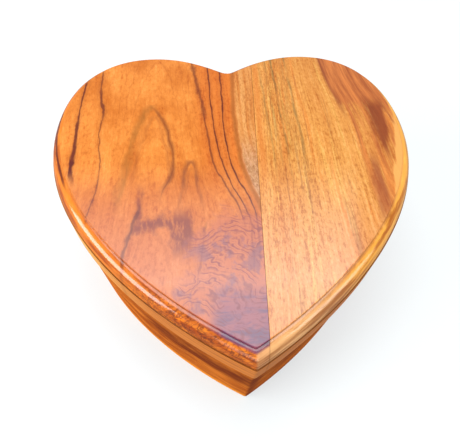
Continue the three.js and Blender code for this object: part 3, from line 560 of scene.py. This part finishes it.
def left_veins(look, drift):
    """How dark the left board's veins are. Lines are (y, x) points, from the cleft's end down."""
    far_left = [(42, -55.4), (32, -55.8), (20, -55.7), (8, -55.2), (0, -55.0), (-7, -53.7)]
    wiggly = [(49, -49.6), (36, -49.1), (31, -47.6), (27, -47.5), (19, -47.6)]
    wiggly += [(0, -45.9), (-13, -46.4), (-22, -48.5)]
    first = [(56, -14.2), (34, -11.4), (13, -9.4), (-1.5, -7.3), (-10, -3.9)]
    first += [(-17, -1.2), (-23, 0.2), (-40, -0.6)]
    second = [(52, -8), (31, -7.6), (10, -6.3), (-1, -4.6), (-10, -2)]
    second += [(-18.5, 1.2), (-23, 2.1), (-30, 2.3), (-50, 1.2)]
    third = [(49, -3.2), (31, -3.3), (12, -3.3), (-3.5, -1.1), (-14.4, 2.7)]
    third += [(-19.2, 3.9), (-23, 4.3), (-40, 3.8)]
    lower_left = [(-8, -31.6), (-18, -32.2), (-24.5, -34.1), (-29, -34.9), (-36, -36.2)]
    lower_mid = [(-20, -11.5), (-26, -11.7), (-34, -13.0), (-42, -14.2), (-48, -17.0)]
    outer = [(34, -62.6), (20, -63.0), (11, -62.0), (0, -58.8), (-11, -54.0), (-21, -47.6)]
    strokes = (  # line, half width, span in y, softness, raggedness, strength
        (far_left, 0.22, (-4, 70), 0.35, 0.8, 0.88),
        (far_left, 0.36, (-4, 24), 0.45, 0.9, 0.9),
        (far_left, 0.78, (-4, 6), 0.5, 1.5, 0.97),
        (wiggly, 0.13, (-20, 70), 0.3, 1.3, 0.7),
        (wiggly, 0.34, (24, 40), 0.35, 1.3, 0.8),
        (first, 0.16, (-24, 70), 0.4, 0.9, 0.72),
        (first, 0.60, (24, 64), 0.7, 1.5, 0.62),
        (second, 0.16, (-26, 70), 0.25, 0.7, 0.88),
        (second, 0.14, (-40, -16), 0.4, 1.1, 0.75),
        (third, 0.18, (-24, 70), 0.25, 0.7, 0.9),
        (third, 0.14, (-36, -16), 0.4, 0.9, 0.75),
        (lower_left, 0.30, (-38, -16), 0.6, 1.4, 0.72),
        (lower_mid, 0.12, (-46, -24), 0.4, 1.8, 0.6),
        (outer, 0.34, (-6, 30), 0.4, 0.7, 0.9),
    )
    return look.either(*(look.product(vein(look, drift, *shape), strength) for *shape, strength in strokes))


def pale_wedge(look, space, drift, colour):
    """Sapwood between the left board's veins and the seam, with a warm shadow along its edge."""
    edge = look.curve(look.y, [(60, 2.4), (48, 1.9), (26, 0.8), (7, 1.1), (-8, 3.2), (-16, 5.6), (-30, 9)])
    past_edge = look.past(look.x, edge, look.swing(drift, 0.8))
    colour = look.stain(colour, (0.20, 0.065, 0.010), look.band(past_edge, 0.3, 1.1), 0.6)
    streak = look.noise((0.55, 0.012, 0.55), 3, 0.65, space)
    pale = look.mix(look.between(streak, 0.36, 0.62), (0.60, 0.265, 0.070), (0.50, 0.165, 0.026))
    dusky = look.noise((0.8, 0.6, 0.8), 3, 0.7)
    greyed = look.mix(look.between(dusky, 0.35, 0.65), (0.50, 0.27, 0.135), (0.34, 0.165, 0.070))
    pale = look.mix(look.between(look.y, 18, -4, 0.0, 0.85), pale, greyed)
    pale = fine_grain(look, space, pale, (0.74, 0.58, 0.42), (1.12, 1.2, 1.5), 0.5)
    return look.stain(colour, pale, look.between(past_edge, 0.2, 1.4), on_top(look))


def blotches(look):
    """Dark smears that join two veins in the lower middle of the left board."""
    fray = look.noise((0.26, 0.16, 0.3), 4, 0.62)
    ridge = look.curve(look.x, [(-36, -27), (-32, -24), (-28, -23), (-24, -21.6), (-20, -24.4), (-16, -30)])
    gap = look.past(look.y, ridge, look.swing(fray, 4.5))
    main = look.product(look.band(gap, 0.9, 2.8), look.window(look.x, -36, -32, -17.5, -14.5), 0.9)
    foot_x = look.total(look.x, 18.6, look.swing(fray, 4.0))
    foot = look.product(look.band(foot_x, 1.9, 1.9), look.window(look.y, -37, -30, -23, -15), 0.9)
    stem_x = look.total(look.x, 31.9, look.swing(fray, 2.2))
    stem = look.product(look.band(stem_x, 0.2, 1.5), look.window(look.y, -28, -22, -14, -5), 0.7)
    worn = look.between(look.noise((0.9, 0.22, 0.6), 3, 0.65), 0.30, 0.52, 0.35, 1.0)
    return look.product(look.either(main, foot, stem), worn)


def burl(look, colour):
    """Flowing wavy lines and violet-grey smudges towards the tip of the left board."""
    away_x = look.product(look.math("ADD", look.x, 3.0), 0.052)
    away_y = look.product(look.math("ADD", look.y, 42.0), 0.038)
    far = look.math("SQRT", look.total(look.product(away_x, away_x), look.product(away_y, away_y)))
    edge = look.swing(look.noise((0.12, 0.10, 0.1), 3), 0.7)
    zone = look.product(look.between(look.total(far, edge), 1.0, 0.6), on_top(look))
    colour = look.stain(colour, (0.40, 0.100, 0.055), zone, 0.6)
    smudge = look.between(look.noise((0.13, 0.11, 0.1), 4, 0.65), 0.50, 0.61)
    colour = look.stain(colour, (0.15, 0.050, 0.085), smudge, zone, 0.65)
    low_tip = look.product(look.between(look.y, -41, -52), look.between(look.x, -13, -7), on_top(look))
    colour = look.stain(colour, (0.20, 0.055, 0.10), low_tip, 0.8)
    drawn = look.between(look.noise((0.08, 0.22, 0.1), 4, 0.65, distortion=0.6), 0.44, 0.60)
    colour = look.stain(colour, (0.085, 0.040, 0.10), drawn, low_tip, 0.85)
    wander = look.swing(look.noise((0.060, 0.065, 0.05), 3, 0.5, distortion=0.4), 2.3)
    ragged = look.swing(look.noise((0.5, 0.5, 0.3), 2, 0.6), 0.12)
    flow = look.total(look.product(look.y, 0.15), look.product(look.x, 0.05), wander, ragged)
    patchy = look.between(look.noise((0.20, 0.20, 0.1), 3, 0.7), 0.38, 0.56)
    for turns, width, strength in ((3.0, 0.05, 0.66), (7.0, 0.06, 0.3)):
        ring = look.math("FRACT", look.product(flow, turns))
        lines = look.band(look.past(ring, 0.5), width, 0.2)
        colour = look.stain(colour, (0.15, 0.020, 0.034), lines, patchy, zone, strength)
    return colour


def right_board_wood():
    """Straight-grained golden wood with a brown heartwood patch along its outer side."""
    look = Look("right_board_wood", **LACQUER)
    seam = look.math("MULTIPLY_ADD", look.y, -math.tan(SEAM_TURN), SEAM_X)
    patch_points = [(60, 38), (40, 39.1), (31, 40.5), (20, 41.9), (-7, 42.4), (-21, 43.5), (-50, 45)]
    patch_line = look.curve(look.y, patch_points)
    share = look.stretch_between(look.x, seam, patch_line)
    bend = look.product(share, look.math("MINIMUM", share, 1.2), 0.75)
    lean = look.past(seam, patch_line, 35.0)
    space = look.vector(look.past(look.x, seam, look.product(lean, bend)), look.y, look.z)

    cloud = look.noise((0.07, 0.010, 0.03), 3, 0.6, space)
    colour = look.mix(look.between(cloud, 0.35, 0.65), (0.60, 0.255, 0.050), (0.48, 0.155, 0.022))
    colour = look.stain(colour, (0.62, 0.25, 0.09), look.between(look.y, -4, -40), 0.45)
    streaks = (
        ((0.22, 0.010, 0.1), 0.54, 0.68, 0.6, (0.58, 0.165, 0.020)),
        ((0.36, 0.014, 0.1), 0.56, 0.66, 0.5, (0.68, 0.38, 0.085)),
        ((0.60, 0.016, 0.1), 0.58, 0.68, 0.6, (0.34, 0.135, 0.032)),
    )
    for stretch, low, high, strength, tone in streaks:
        streak = look.between(look.noise(stretch, 4, 0.7, space), low, high)
        colour = look.stain(colour, tone, streak, strength)
    open_grain = look.between(share, 0.75, 0.35, 0.25, 0.62)
    colour = fine_grain(look, space, colour, (0.72, 0.54, 0.34), (1.16, 1.32, 1.75), open_grain)
    colour = mineral_streaks(look, share, colour)
    colour = heartwood(look, space, share, colour)
    colour = edge_tint(look, colour, (0.90, 0.41, 0.045), (0.56, 0.190, 0.030))
    look.paint(colour, LACQUERED_ROUGHNESS)
    lacquer_relief(look, space)
    return look.material


def mineral_streaks(look, share, colour):
    """Grey-green streaks in the upper half of the right board, and an orange one beside the seam."""
    ripple = look.swing(look.noise((0.3, 0.05, 0.3), 4, 0.65), 1.0)
    upper = look.between(look.y, -18, 16)
    broken = look.between(look.noise((0.5, 0.07, 0.3), 3, 0.7), 0.36, 0.58, 0.2, 1.0)
    streaks = ((18.2, 0.12, 0.75), (23.9, 0.18, 0.6), (21.0, 1.6, 0.22), (13.0, 0.1, 0.45), (15.5, 0.08, 0.4))
    for x, half_width, strength in streaks:
        streak = look.band(look.past(look.x, x, ripple), half_width, 0.6)
        colour = look.stain(colour, (0.10, 0.070, 0.020), streak, broken, upper, strength)
    glow = look.band(look.past(share, 0.05, look.product(ripple, 0.02)), 0.01, 0.05)
    return look.stain(colour, (0.52, 0.12, 0.010), glow, look.between(look.y, -22, 6), 0.5)


def heartwood(look, space, share, colour):
    """The brown patch: solid down to a ragged line, then a dark tongue and separate streaks."""
    streaks = look.noise((0.60, 0.024, 0.2), 4, 0.72, space)
    fray = look.swing(look.noise((0.35, 0.05, 0.2), 4, 0.7), 9.0)
    solid = look.between(look.total(look.y, fray), 25, 31)
    bleed = look.product(look.swing(streaks, 0.35), look.math("SUBTRACT", 1.0, solid))
    inside = look.between(look.total(share, bleed), 1.0, 1.02)
    strands = look.either(look.between(streaks, 0.46, 0.62, 0.12, 1.0), solid)
    fading = look.between(look.y, -30, 30, 0.45, 0.9)
    dark_grain = look.noise((0.40, 0.03, 0.2), 4, 0.7, space)
    brown = look.mix(look.between(dark_grain, 0.3, 0.7), (0.28, 0.058, 0.012), (0.60, 0.185, 0.040))
    colour = look.stain(colour, brown, inside, strands, fading)
    border = look.band(look.past(share, 1.02), 0.005, 0.035)
    colour = look.stain(colour, (0.20, 0.040, 0.010), border, look.between(look.y, 18, 30), 0.6)

    rag = look.swing(look.noise((0.45, 0.06, 0.2), 4, 0.7), 2.2)
    tongue_x = look.curve(look.y, [(36, 53), (28, 54.6), (20, 54.4), (12, 53.8), (5, 53.0), (-4, 53)])
    tongue_width = look.curve(look.y, [(40, 2.0), (28, 2.7), (20, 2.2), (12, 1.2), (5, 0.3), (-10, 0.1)])
    tongue = look.band(look.past(look.x, tongue_x, rag), tongue_width, 1.6)
    tongue_tone = look.mix(dark_grain, (0.09, 0.010, 0.003), (0.34, 0.065, 0.008))
    colour = look.stain(colour, tongue_tone, tongue, look.window(look.y, -2, 8, 26, 34), 0.92)
    late_x = look.curve(look.y, [(4, 47.2), (-4, 47), (-15, 46.0), (-24, 45.0)])
    late = look.band(look.past(look.x, late_x, rag), 1.0, 1.6)
    colour = look.stain(colour, (0.24, 0.050, 0.018), late, look.window(look.y, -30, -18, -4, 6), 0.6)
    sap_points = [(60, 66), (30, 60.5), (18, 59.4), (6, 56.4), (-2, 53.8), (-23, 47.5), (-40, 40)]
    sap = look.between(look.past(look.x, look.curve(look.y, sap_points), rag), -0.4, 1.0)
    return look.stain(colour, (0.72, 0.34, 0.085), sap, 0.85)


def case_wood():
    """Red-brown wood, its grain level round the wall and from side to side on flat faces."""
    look = Look("case_wood", **THIN_LACQUER)
    wander = look.swing(look.noise((0.022, 0.022, 0.015), 3), 7.0)
    normal = look.node("SeparateXYZ", {0: look.node("TexCoord").outputs["Normal"]}).outputs
    flat = look.between(look.math("ABSOLUTE", normal[2]), 0.6, 0.9)
    on_wall = look.product(look.z, look.math("SUBTRACT", 1.0, flat))
    across = look.total(on_wall, look.product(look.y, flat), wander)
    level = look.vector(look.product(look.x, 0.05), look.product(look.y, 0.05), across)
    broad = look.noise((1.0, 1.0, 0.17), 4, 0.65, level)
    colour = look.mix(look.between(broad, 0.32, 0.66), (0.60, 0.175, 0.022), (0.37, 0.082, 0.010))
    fibre = look.noise((1.0, 1.0, 1.7), 4, 0.7, level)
    colour = look.tint(colour, (0.55, 0.38, 0.25), look.between(fibre, 0.42, 0.68))
    colour = look.tint(colour, (1.25, 1.45, 2.0), look.between(fibre, 0.40, 0.22))
    thread = look.between(look.noise((1.0, 1.0, 0.8), 3, 0.6, level), 0.58, 0.66)
    colour = look.stain(colour, (0.13, 0.020, 0.010), thread, 0.75)

    # Darker wood streaks high on the wall near the tip, partly painted shade under the lid; painted shade on
    # the mitre's right face; a painted shadow line under the lid; and a painted highlight low on the left
    # wall.
    tip_streaks_and_shade = look.product(look.window(look.z, 16, 26, 34, 40), look.between(look.y, -36, -50))
    tip_streaks_and_shade = look.product(tip_streaks_and_shade, look.between(broad, 0.36, 0.62, 0.35, 1.0))
    colour = look.stain(colour, (0.10, 0.016, 0.006), tip_streaks_and_shade, 0.8)
    # Painted shade on the right face of the mitre at the tip.
    mitre = look.between(look.math("ABSOLUTE", look.x), 5.0, 1.0)
    mitre = look.product(mitre, look.between(look.y, -48, -56), look.between(look.x, -0.5, 0.5))
    colour = look.stain(colour, (0.16, 0.030, 0.010), mitre, 0.7)
    # Painted shadow: a dark line just under the lid's edge.
    colour = look.stain(colour, (0.08, 0.020, 0.008), look.between(look.z, RIM - 0.7, RIM - 0.2), 0.8)
    # Painted highlight: a brighter band low on the left wall.
    foot = look.product(look.between(look.z, 7, 1), look.between(look.x, 0.5, -0.5))
    colour = look.stain(colour, (0.78, 0.26, 0.020), foot, 0.8)
    look.paint(colour, 0.40)
    look.bump(look.noise((0.08, 0.08, 0.08), 2), 0.25, 0.25)
    look.bump(fibre, 0.15, 0.03)
    return look.material


def partition_wood():
    """Thin satin-finished wood with a fine level grain."""
    look = Look("partition_wood", Specular_IOR_Level=0.35)
    grain = look.noise((0.05, 0.05, 1.4), 3, 0.6)
    colour = look.mix(grain, (0.50, 0.28, 0.11), (0.32, 0.155, 0.055))
    pores = look.between(look.noise((0.5, 0.5, 4.0), 1), 0.62, 0.75)
    colour = look.stain(colour, (0.16, 0.075, 0.03), pores, 0.5)
    look.paint(colour, look.between(grain, 0.2, 0.8, 0.45, 0.62))
    look.bump(grain, 0.3, 0.05)
    return look.material


# ------------ other materials
def felt_cloth():
    look = Look("felt_cloth", Roughness=1.0, Sheen_Weight=0.55, Sheen_Roughness=0.4, Specular_IOR_Level=0.1)
    fuzz = look.noise((6.0, 6.0, 6.0), 3, 0.7)
    tuft = look.noise((0.9, 0.9, 0.9), 3, 0.6, distortion=1.0)
    colour = look.mix(look.between(fuzz, 0.3, 0.7), (0.19, 0.010, 0.022), (0.36, 0.030, 0.050))
    colour = look.stain(colour, (0.45, 0.06, 0.08), look.between(tuft, 0.5, 0.7), 0.35)
    look.paint(colour)
    look.bump(tuft, 0.5, 0.25)
    look.bump(fuzz, 0.8, 0.12)
    return look.material


def acrylic_sheet():
    look = Look("acrylic_sheet", Transmission_Weight=1.0, IOR=1.49, Base_Color=(0.97, 0.99, 0.99, 1.0))
    scuff = look.noise((0.08, 1.4, 0.3), 3, 0.7)
    look.feed(look.bsdf.inputs["Roughness"], look.between(scuff, 0.6, 0.8, 0.02, 0.10))
    return look.material


def metal(name, colour, tarnish, roughness, brushed):
    """Metal with tarnish in patches, fine brushing and a little roughness variation."""
    look = Look(name, Metallic=1.0)
    patch = look.noise((0.35, 0.35, 0.35), 4, 0.6)
    lines = look.noise(brushed, 3, 0.6)
    wear = look.total(look.product(patch, 0.5), look.product(lines, 0.5))
    look.paint(
        look.mix(look.between(patch, 0.45, 0.72), colour, tarnish),
        look.between(wear, 0.3, 0.7, roughness * 0.7, roughness * 1.5),
    )
    look.bump(lines, 0.25, 0.02)
    return look.material


def cast_metal():
    look = Look("cast_metal", Metallic=0.9)
    pits = look.noise((2.4, 2.4, 2.4), 3, 0.6)
    cloud = look.noise((0.2, 0.2, 0.2), 3)
    colour = look.mix(cloud, (0.50, 0.50, 0.49), (0.36, 0.36, 0.36))
    look.paint(colour, look.between(pits, 0.3, 0.7, 0.38, 0.58))
    look.bump(pits, 0.4, 0.04)
    return look.material


def nylon_plastic():
    look = Look("nylon_plastic", Subsurface_Weight=0.15, Subsurface_Scale=0.002, IOR=1.53)
    cloud = look.noise((0.4, 0.4, 0.4), 3)
    colour = look.mix(cloud, (0.80, 0.77, 0.68), (0.70, 0.66, 0.56))
    look.paint(colour, look.between(cloud, 0.3, 0.7, 0.38, 0.52))
    look.bump(look.noise((3.0, 3.0, 3.0), 2), 0.2, 0.02)
    return look.material


LOOKS = {
    "lid_wood_left": left_board_wood(),
    "lid_wood_right": right_board_wood(),
    "case_wood": case_wood(),
    "partition_wood": partition_wood(),
    "felt": felt_cloth(),
    "clear_acrylic": acrylic_sheet(),
    "brass": metal("brass", (0.80, 0.55, 0.20), (0.56, 0.36, 0.12), 0.24, (0.3, 3.0, 0.3)),
    "steel": metal("steel", (0.62, 0.62, 0.63), (0.46, 0.45, 0.44), 0.26, (3.0, 3.0, 0.3)),
    "cast_zinc": cast_metal(),
    "spring_steel": metal("spring_steel", (0.30, 0.34, 0.42), (0.22, 0.21, 0.26), 0.22, (3.0, 0.2, 0.3)),
    "nylon": nylon_plastic(),
}
SLOT_OF = {s["node"]: s["material_slot"] for s in frame["record"]["subparts"]}


def dress(piece, slot):
    piece.data.materials.clear()
    piece.data.materials.append(LOOKS[slot])


# ------------ lid
def lid_profile():
    """[inset, height] round the lid's section, from the recess ceiling out and up to the top."""
    ease = 0.3
    profile = [
        (WALL, LID_CEILING),
        (WALL, LID_LOW + ease),
        (WALL - ease, LID_LOW),
        (ease, LID_LOW),
        (0.1, LID_LOW + 0.1),
        (0, LID_LOW + ease),
        (0, LID_LOW + ease + 0.08),
        (0, BAND_TOP - 0.28),
        (0, BAND_TOP - 0.2),
        (0.06, BAND_TOP - 0.06),
        (QUIRK, BAND_TOP),
    ]
    steps = 14
    shoulder = BAND_TOP + 0.12
    for i in range(steps + 1):
        turn = math.pi / 2 * i / steps
        inset = TOP_INSET - (TOP_INSET - QUIRK) * math.cos(turn)
        profile.append((inset, shoulder + (ROUND_TOP - shoulder) * math.sin(turn)))
    profile += [
        (TOP_INSET, LID_HIGH - 0.22),
        (TOP_INSET + 0.05, LID_HIGH - 0.08),
        (TOP_INSET + 0.18, LID_HIGH - 0.015),
        (TOP_INSET + 0.36, LID_HIGH),
    ]
    return profile


def keep_side(bm, side):
    """Keeps the part of the lid on one side of the glued seam."""
    normal = Vector((math.cos(SEAM_TURN), math.sin(SEAM_TURN), 0))
    place = Vector((SEAM_X, 0, 0)) * MM - normal * side * GLUE / 2 * MM
    cut = bmesh.ops.bisect_plane(
        bm,
        geom=bm.verts[:] + bm.edges[:] + bm.faces[:],
        plane_co=place,
        plane_no=normal * side,
        clear_outer=True,
        dist=1e-7,
    )
    edges = [e for e in cut["geom_cut"] if isinstance(e, bmesh.types.BMEdge)]
    bmesh.ops.contextual_create(bm, geom=edges)
    bmesh.ops.recalc_face_normals(bm, faces=bm.faces)


def screw_holes(bm, name, count, *shape):
    """Holes on the axes of the screws name_1 to name_count."""
    for i in range(1, count + 1):
        add_hole(bm, f"{name}_{i}", *shape)


def hinge_pockets(bm, part, z0, z1, hole_from, hole_to):
    """Pockets for the hinge leaves of the lid or the case, and pilot holes for their screws."""
    for side in ("left", "right"):
        low, high = (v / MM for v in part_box(f"hinge_{side}_{part}_leaf"))
        middle = (low.x + high.x) / 2
        left, right = middle - HINGE_POCKET / 2, middle + HINGE_POCKET / 2
        front, open_back = low.y - 0.2, high.y + 4
        add_box(bm, (left, front, z0), (right, open_back, z1))
        screw_holes(bm, f"hinge_{side}_{part}_screw", 2, PILOT_R, hole_from, hole_to, 16)


def make_lid():
    profile = lid_profile()
    for side, name in ((1, "left"), (-1, "right")):
        bm = skin([heart_ring(inset, z) for inset, z in profile])
        keep_side(bm, side)
        slot = f"lid_wood_{name}"
        piece = new_piece(f"lid_{name}_board", bm, "lid", f"lid_board_{name}")
        pockets = bmesh.new()
        hinge_pockets(pockets, "lid", LID_LOW - 1, LID_LOW + POCKET_DEEP, LID_LOW - 0.5, LID_LOW + 7)
        carve(piece, pockets)
        smooth(piece, 40)
        dress(piece, slot)


# ------------ case
def make_case():
    ease = 0.35
    outer = [
        (CASE_INSET_BOTTOM + ease, 0),
        (CASE_INSET_BOTTOM + 0.1, 0.1),
        (CASE_INSET_BOTTOM - 0.01, ease),
        (CASE_INSET_BOTTOM - 0.015, ease + 0.1),
        (CASE_INSET_TOP + 0.005, RIM - ease - 0.1),
        (CASE_INSET_TOP, RIM - ease),
        (CASE_INSET_TOP + 0.1, RIM - 0.1),
        (CASE_INSET_TOP + ease, RIM),
    ]
    inner = [
        (WALL - ease, RIM),
        (WALL - 0.1, RIM - 0.1),
        (WALL, RIM - ease),
        (WALL, FLOOR),
        (REBATE, FLOOR),
        (REBATE, 0.3),
        (REBATE - 0.3, 0),
    ]
    bm = skin([heart_ring(inset, z) for inset, z in outer + inner], closed=True)
    wall = new_piece("case_shell", bm, "case", "case_wall")
    pockets = bmesh.new()
    hinge_pockets(pockets, "case", RIM - POCKET_DEEP, RIM + 1, RIM - 7, RIM + 0.5)
    screw_holes(pockets, "panel_screw", 4, PANEL_HOLE_R, FLOOR - 1, FLOOR + 8)
    carve(wall, pockets)
    smooth(wall, 40)
    dress(wall, "case_wood")

    edge = REBATE + PANEL_FIT
    rings = [
        (edge + 0.3, PANEL_LOW),
        (edge, PANEL_LOW + 0.3),
        (edge, FLOOR),
    ]
    bm = skin([heart_ring(inset, z) for inset, z in rings])
    panel = new_piece("base_panel", bm, "case", "bottom_panel")
    holes = bmesh.new()
    through = (PANEL_LOW - 1, FLOOR + 1)
    screw_holes(holes, "panel_screw", 4, PANEL_HOLE_R, *through)
    screw_holes(holes, "movement_screw", 3, MOVEMENT_HOLE_R, *through)
    add_hole(holes, "winding_arbor", KEY_HOLE_R, *through, 32)
    carve(panel, holes)
    smooth(panel, 40)
    dress(panel, "case_wood")


# ------------ screws
THREAD_PITCH = 0.6 * MM


def make_screw(node, head_up, head_share, shank_share):
    """A slotted, round-headed screw in the box of its CAD node."""
    low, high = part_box(node)
    centre = (low + high) / 2
    head_r = (high.x - low.x) / 2
    length = high.z - low.z
    head = length * head_share
    shank_r = head_r * shank_share
    profile = [(head_r * 0.98, 0.0), (head_r, head * 0.12), (head_r, head * 0.45)]
    for i in range(1, 7):
        turn = math.pi / 2 * i / 6
        profile.append((head_r * (0.3 + 0.7 * math.cos(turn)), head * (0.45 + 0.55 * math.sin(turn))))
    shank = []
    threads = max(4, round((length - head) / THREAD_PITCH))
    pitch = (length - head) / threads
    for i in range(threads):
        crest = -pitch * (i + 0.5)
        shank += [(shank_r, crest), (shank_r * 0.82, crest - pitch / 2)]
    profile = list(reversed(shank)) + [(shank_r, 0.0)] + profile
    rings = []
    for r, z in profile:
        turns = (2 * math.pi * k / 28 for k in range(28))
        rings.append([Vector((r * math.cos(a), r * math.sin(a), z)) for a in turns])
    bm = skin(rings)
    turn = Matrix() if head_up else Matrix.Rotation(math.pi, 4, "X")
    foot = high.z - head if head_up else low.z + head
    bm.transform(Matrix.Translation((centre.x, centre.y, foot)) @ turn)
    slot = SLOT_OF[node]
    piece = new_piece(f"{node}_fine", bm, frame["nodes"][node]["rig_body"], node)
    groove = bmesh.new()
    angle = random.Random(node).uniform(0, math.pi)
    place = Matrix.Rotation(angle, 4, "Z") @ Matrix.Diagonal((head_r * 3, head_r * 0.26, head, 1))
    top = high.z if head_up else low.z
    bmesh.ops.create_cube(groove, size=1, matrix=Matrix.Translation((centre.x, centre.y, top)) @ place)
    carve(piece, groove)
    smooth(piece, 30)
    dress(piece, slot)


def make_screws():
    for i in range(1, 5):
        make_screw(f"panel_screw_{i}", False, 0.09, 0.57)
    for i in range(1, 4):
        make_screw(f"movement_screw_{i}", False, 0.19, 0.46)
    for side in ("left", "right"):
        for i in (1, 2):
            make_screw(f"hinge_{side}_case_screw_{i}", True, 0.115, 0.59)
            make_screw(f"hinge_{side}_lid_screw_{i}", False, 0.115, 0.59)
    for i in (1, 2):
        make_screw(f"comb_screw_{i}", True, 0.18, 0.5)
    make_screw("click_screw", True, 0.25, 0.46)


# ------------ music cylinder
def make_cylinder():
    """The pinned brass cylinder: a smooth barrel with rows of fine pins."""
    low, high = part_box("music_cylinder")
    axis_z = (low.z + high.z) / 2
    axis_y = (low.y + high.y) / 2
    pin_high = 0.55 * MM
    radius = (high.z - low.z) / 2 - 0.6 * MM
    bore = 0.95 * MM
    ease = 0.25 * MM
    profile = [
        (bore, low.x),
        (radius - ease, low.x),
        (radius, low.x + ease),
        (radius, high.x - ease),
        (radius - ease, high.x),
        (bore, high.x),
    ]
    rings = []
    for r, x in profile:
        turns = (2 * math.pi * k / 72 for k in range(72))
        rings.append([Vector((x, axis_y + r * math.cos(a), axis_z + r * math.sin(a))) for a in turns])
    bm = skin(rings, closed=True)
    pin = dict(radius1=0.16 * MM, radius2=0.11 * MM, depth=pin_high + 0.2 * MM)
    notes, slots, pins_per_note = 18, 48, 9
    draw = random.Random(notes)
    pitch = (high.x - low.x - 1 * MM) / (notes - 1)
    for note in range(notes):
        taken = draw.sample(range(0, slots, 2), pins_per_note)
        for slot in taken:
            turn = Matrix.Rotation(2 * math.pi * (slot + note % 2) / slots, 4, "X")
            place = Matrix.Translation((low.x + 0.5 * MM + note * pitch, axis_y, axis_z)) @ turn
            lift = Matrix.Translation((0, 0, radius + pin_high / 2 - 0.1 * MM))
            bmesh.ops.create_cone(bm, cap_ends=True, segments=8, matrix=place @ lift, **pin)
    piece = new_piece("pinned_cylinder", bm, "cylinder", "music_cylinder")
    smooth(piece, 30)
    dress(piece, "brass")


# ------------ working parts and linings
# Widths of the eased edges, in millimetres.
BEVELS = dict(
    partition_wood=0.35, clear_acrylic=0.25, felt=0.3, brass=0.1, steel=0.1,
    cast_zinc=0.15, spring_steel=0.05, nylon=0.1,
)
# Parts whose edges are finer or broader than their material's usual bevel.
OWN_BEVELS = dict(
    comb=0.03, mainspring=0.03, worm_arbor=0.03, governor_wheel=0.03, cylinder_pinion=0.04,
    cylinder_gear=0.04, drive_wheel=0.05, ratchet_wheel=0.05, click=0.08, bedplate=0.25, wind_key=0.25,
)


def make_rest(done):
    for node in sorted(set(SLOT_OF) - done):
        slot = SLOT_OF[node]
        piece = refined(node, OWN_BEVELS.get(node, BEVELS[slot]))
        dress(piece, slot)


# ------------ studio
def make_floor():
    """A plain pale floor. It glows a little to stay bright beside the box, and doesn't mirror in it."""
    glow = dict(Emission_Color=(0.94, 0.99, 1.0, 1.0), Emission_Strength=0.58)
    look = Look("floor_paper", Roughness=0.9, Specular_IOR_Level=0.2, **glow)
    look.paint(look.mix(look.noise((0.01, 0.01, 0.01), 2), (0.31, 0.325, 0.33), (0.33, 0.345, 0.35)))
    bm = bmesh.new()
    bmesh.ops.create_grid(bm, x_segments=1, y_segments=1, size=3)
    floor = add_object("floor", bm)
    floor.data.materials.append(look.material)
    floor.visible_glossy = False
    floor.location.z = -0.05 * MM


def softbox(name, place, width, height, power):
    """A rectangular area light that faces the box."""
    data = bpy.data.lights.new(name, "AREA")
    data.shape = "RECTANGLE"
    data.size = width
    data.size_y = height
    data.energy = power
    lamp = bpy.data.objects.new(name, data)
    lamp.location = place
    toward = Vector((0, 0, 0.03)) - Vector(place)
    lamp.rotation_euler = toward.to_track_quat("-Z", "Y").to_euler()
    bpy.context.scene.collection.objects.link(lamp)


def make_light():
    """Soft light from the sides and above. Strips of rising power blur the overhead box's edge."""
    softbox("left_window", (-0.67, -0.14, 0.33), 0.56, 0.34, 5.6)
    softbox("overhead", (0.0, 0.10, 0.845), 0.80, 0.34, 4.2)
    reach = 0.85
    for i in range(7):
        rise = math.radians(53 + 3 * i)
        strip = (0.0, reach * math.cos(rise), reach * math.sin(rise))
        softbox(f"overhead_strip_{i + 1}", strip, 0.80, 0.0445, 0.085 * (i + 0.6))
    softbox("right_fill", (0.62, -0.25, 0.42), 0.40, 0.30, 1.5)
    softbox("front_fill", (-0.12, -0.75, 0.42), 0.90, 0.36, 2.0)
    world = bpy.data.worlds.new("studio")
    world.use_nodes = True
    background = world.node_tree.nodes["Background"]
    background.inputs["Color"].default_value = (0.95, 0.97, 1.0, 1.0)
    background.inputs["Strength"].default_value = 0.33
    bpy.context.scene.world = world
    bpy.context.scene.view_settings.view_transform = "Standard"


def make_camera():
    """A short lens looking down at the tip of the heart, turned a little on its axis."""
    data = bpy.data.cameras.new("camera")
    data.sensor_width = 36
    data.lens = 31.69
    data.clip_start = 0.005
    camera = bpy.data.objects.new("camera", data)
    azimuth, elevation, roll = (math.radians(v) for v in (-6.39, 56.33, 2.84))
    level = math.cos(elevation)
    back = Vector((math.sin(azimuth) * level, -math.cos(azimuth) * level, math.sin(elevation)))
    target = Vector((-2.09, -5.02, 26.55)) * MM
    distance = 156 * MM
    camera.location = target + back * distance
    right = (-back).cross(Vector((0, 0, 1))).normalized()
    up = right.cross(-back)
    right_rolled = right * math.cos(roll) + up * math.sin(roll)
    up_rolled = up * math.cos(roll) - right * math.sin(roll)
    turn = Matrix((right_rolled, up_rolled, back)).transposed()
    camera.rotation_euler = turn.to_euler()
    bpy.context.scene.collection.objects.link(camera)
    bpy.context.scene.camera = camera


make_camera()
make_light()
make_floor()
make_lid()
make_case()
make_screws()
make_cylinder()
stood_for = {n for n in SLOT_OF if "screw_" in n or n.endswith("_screw")}
stood_for |= {"lid_board_left", "lid_board_right", "case_wall", "bottom_panel", "music_cylinder"}
make_rest(stood_for)
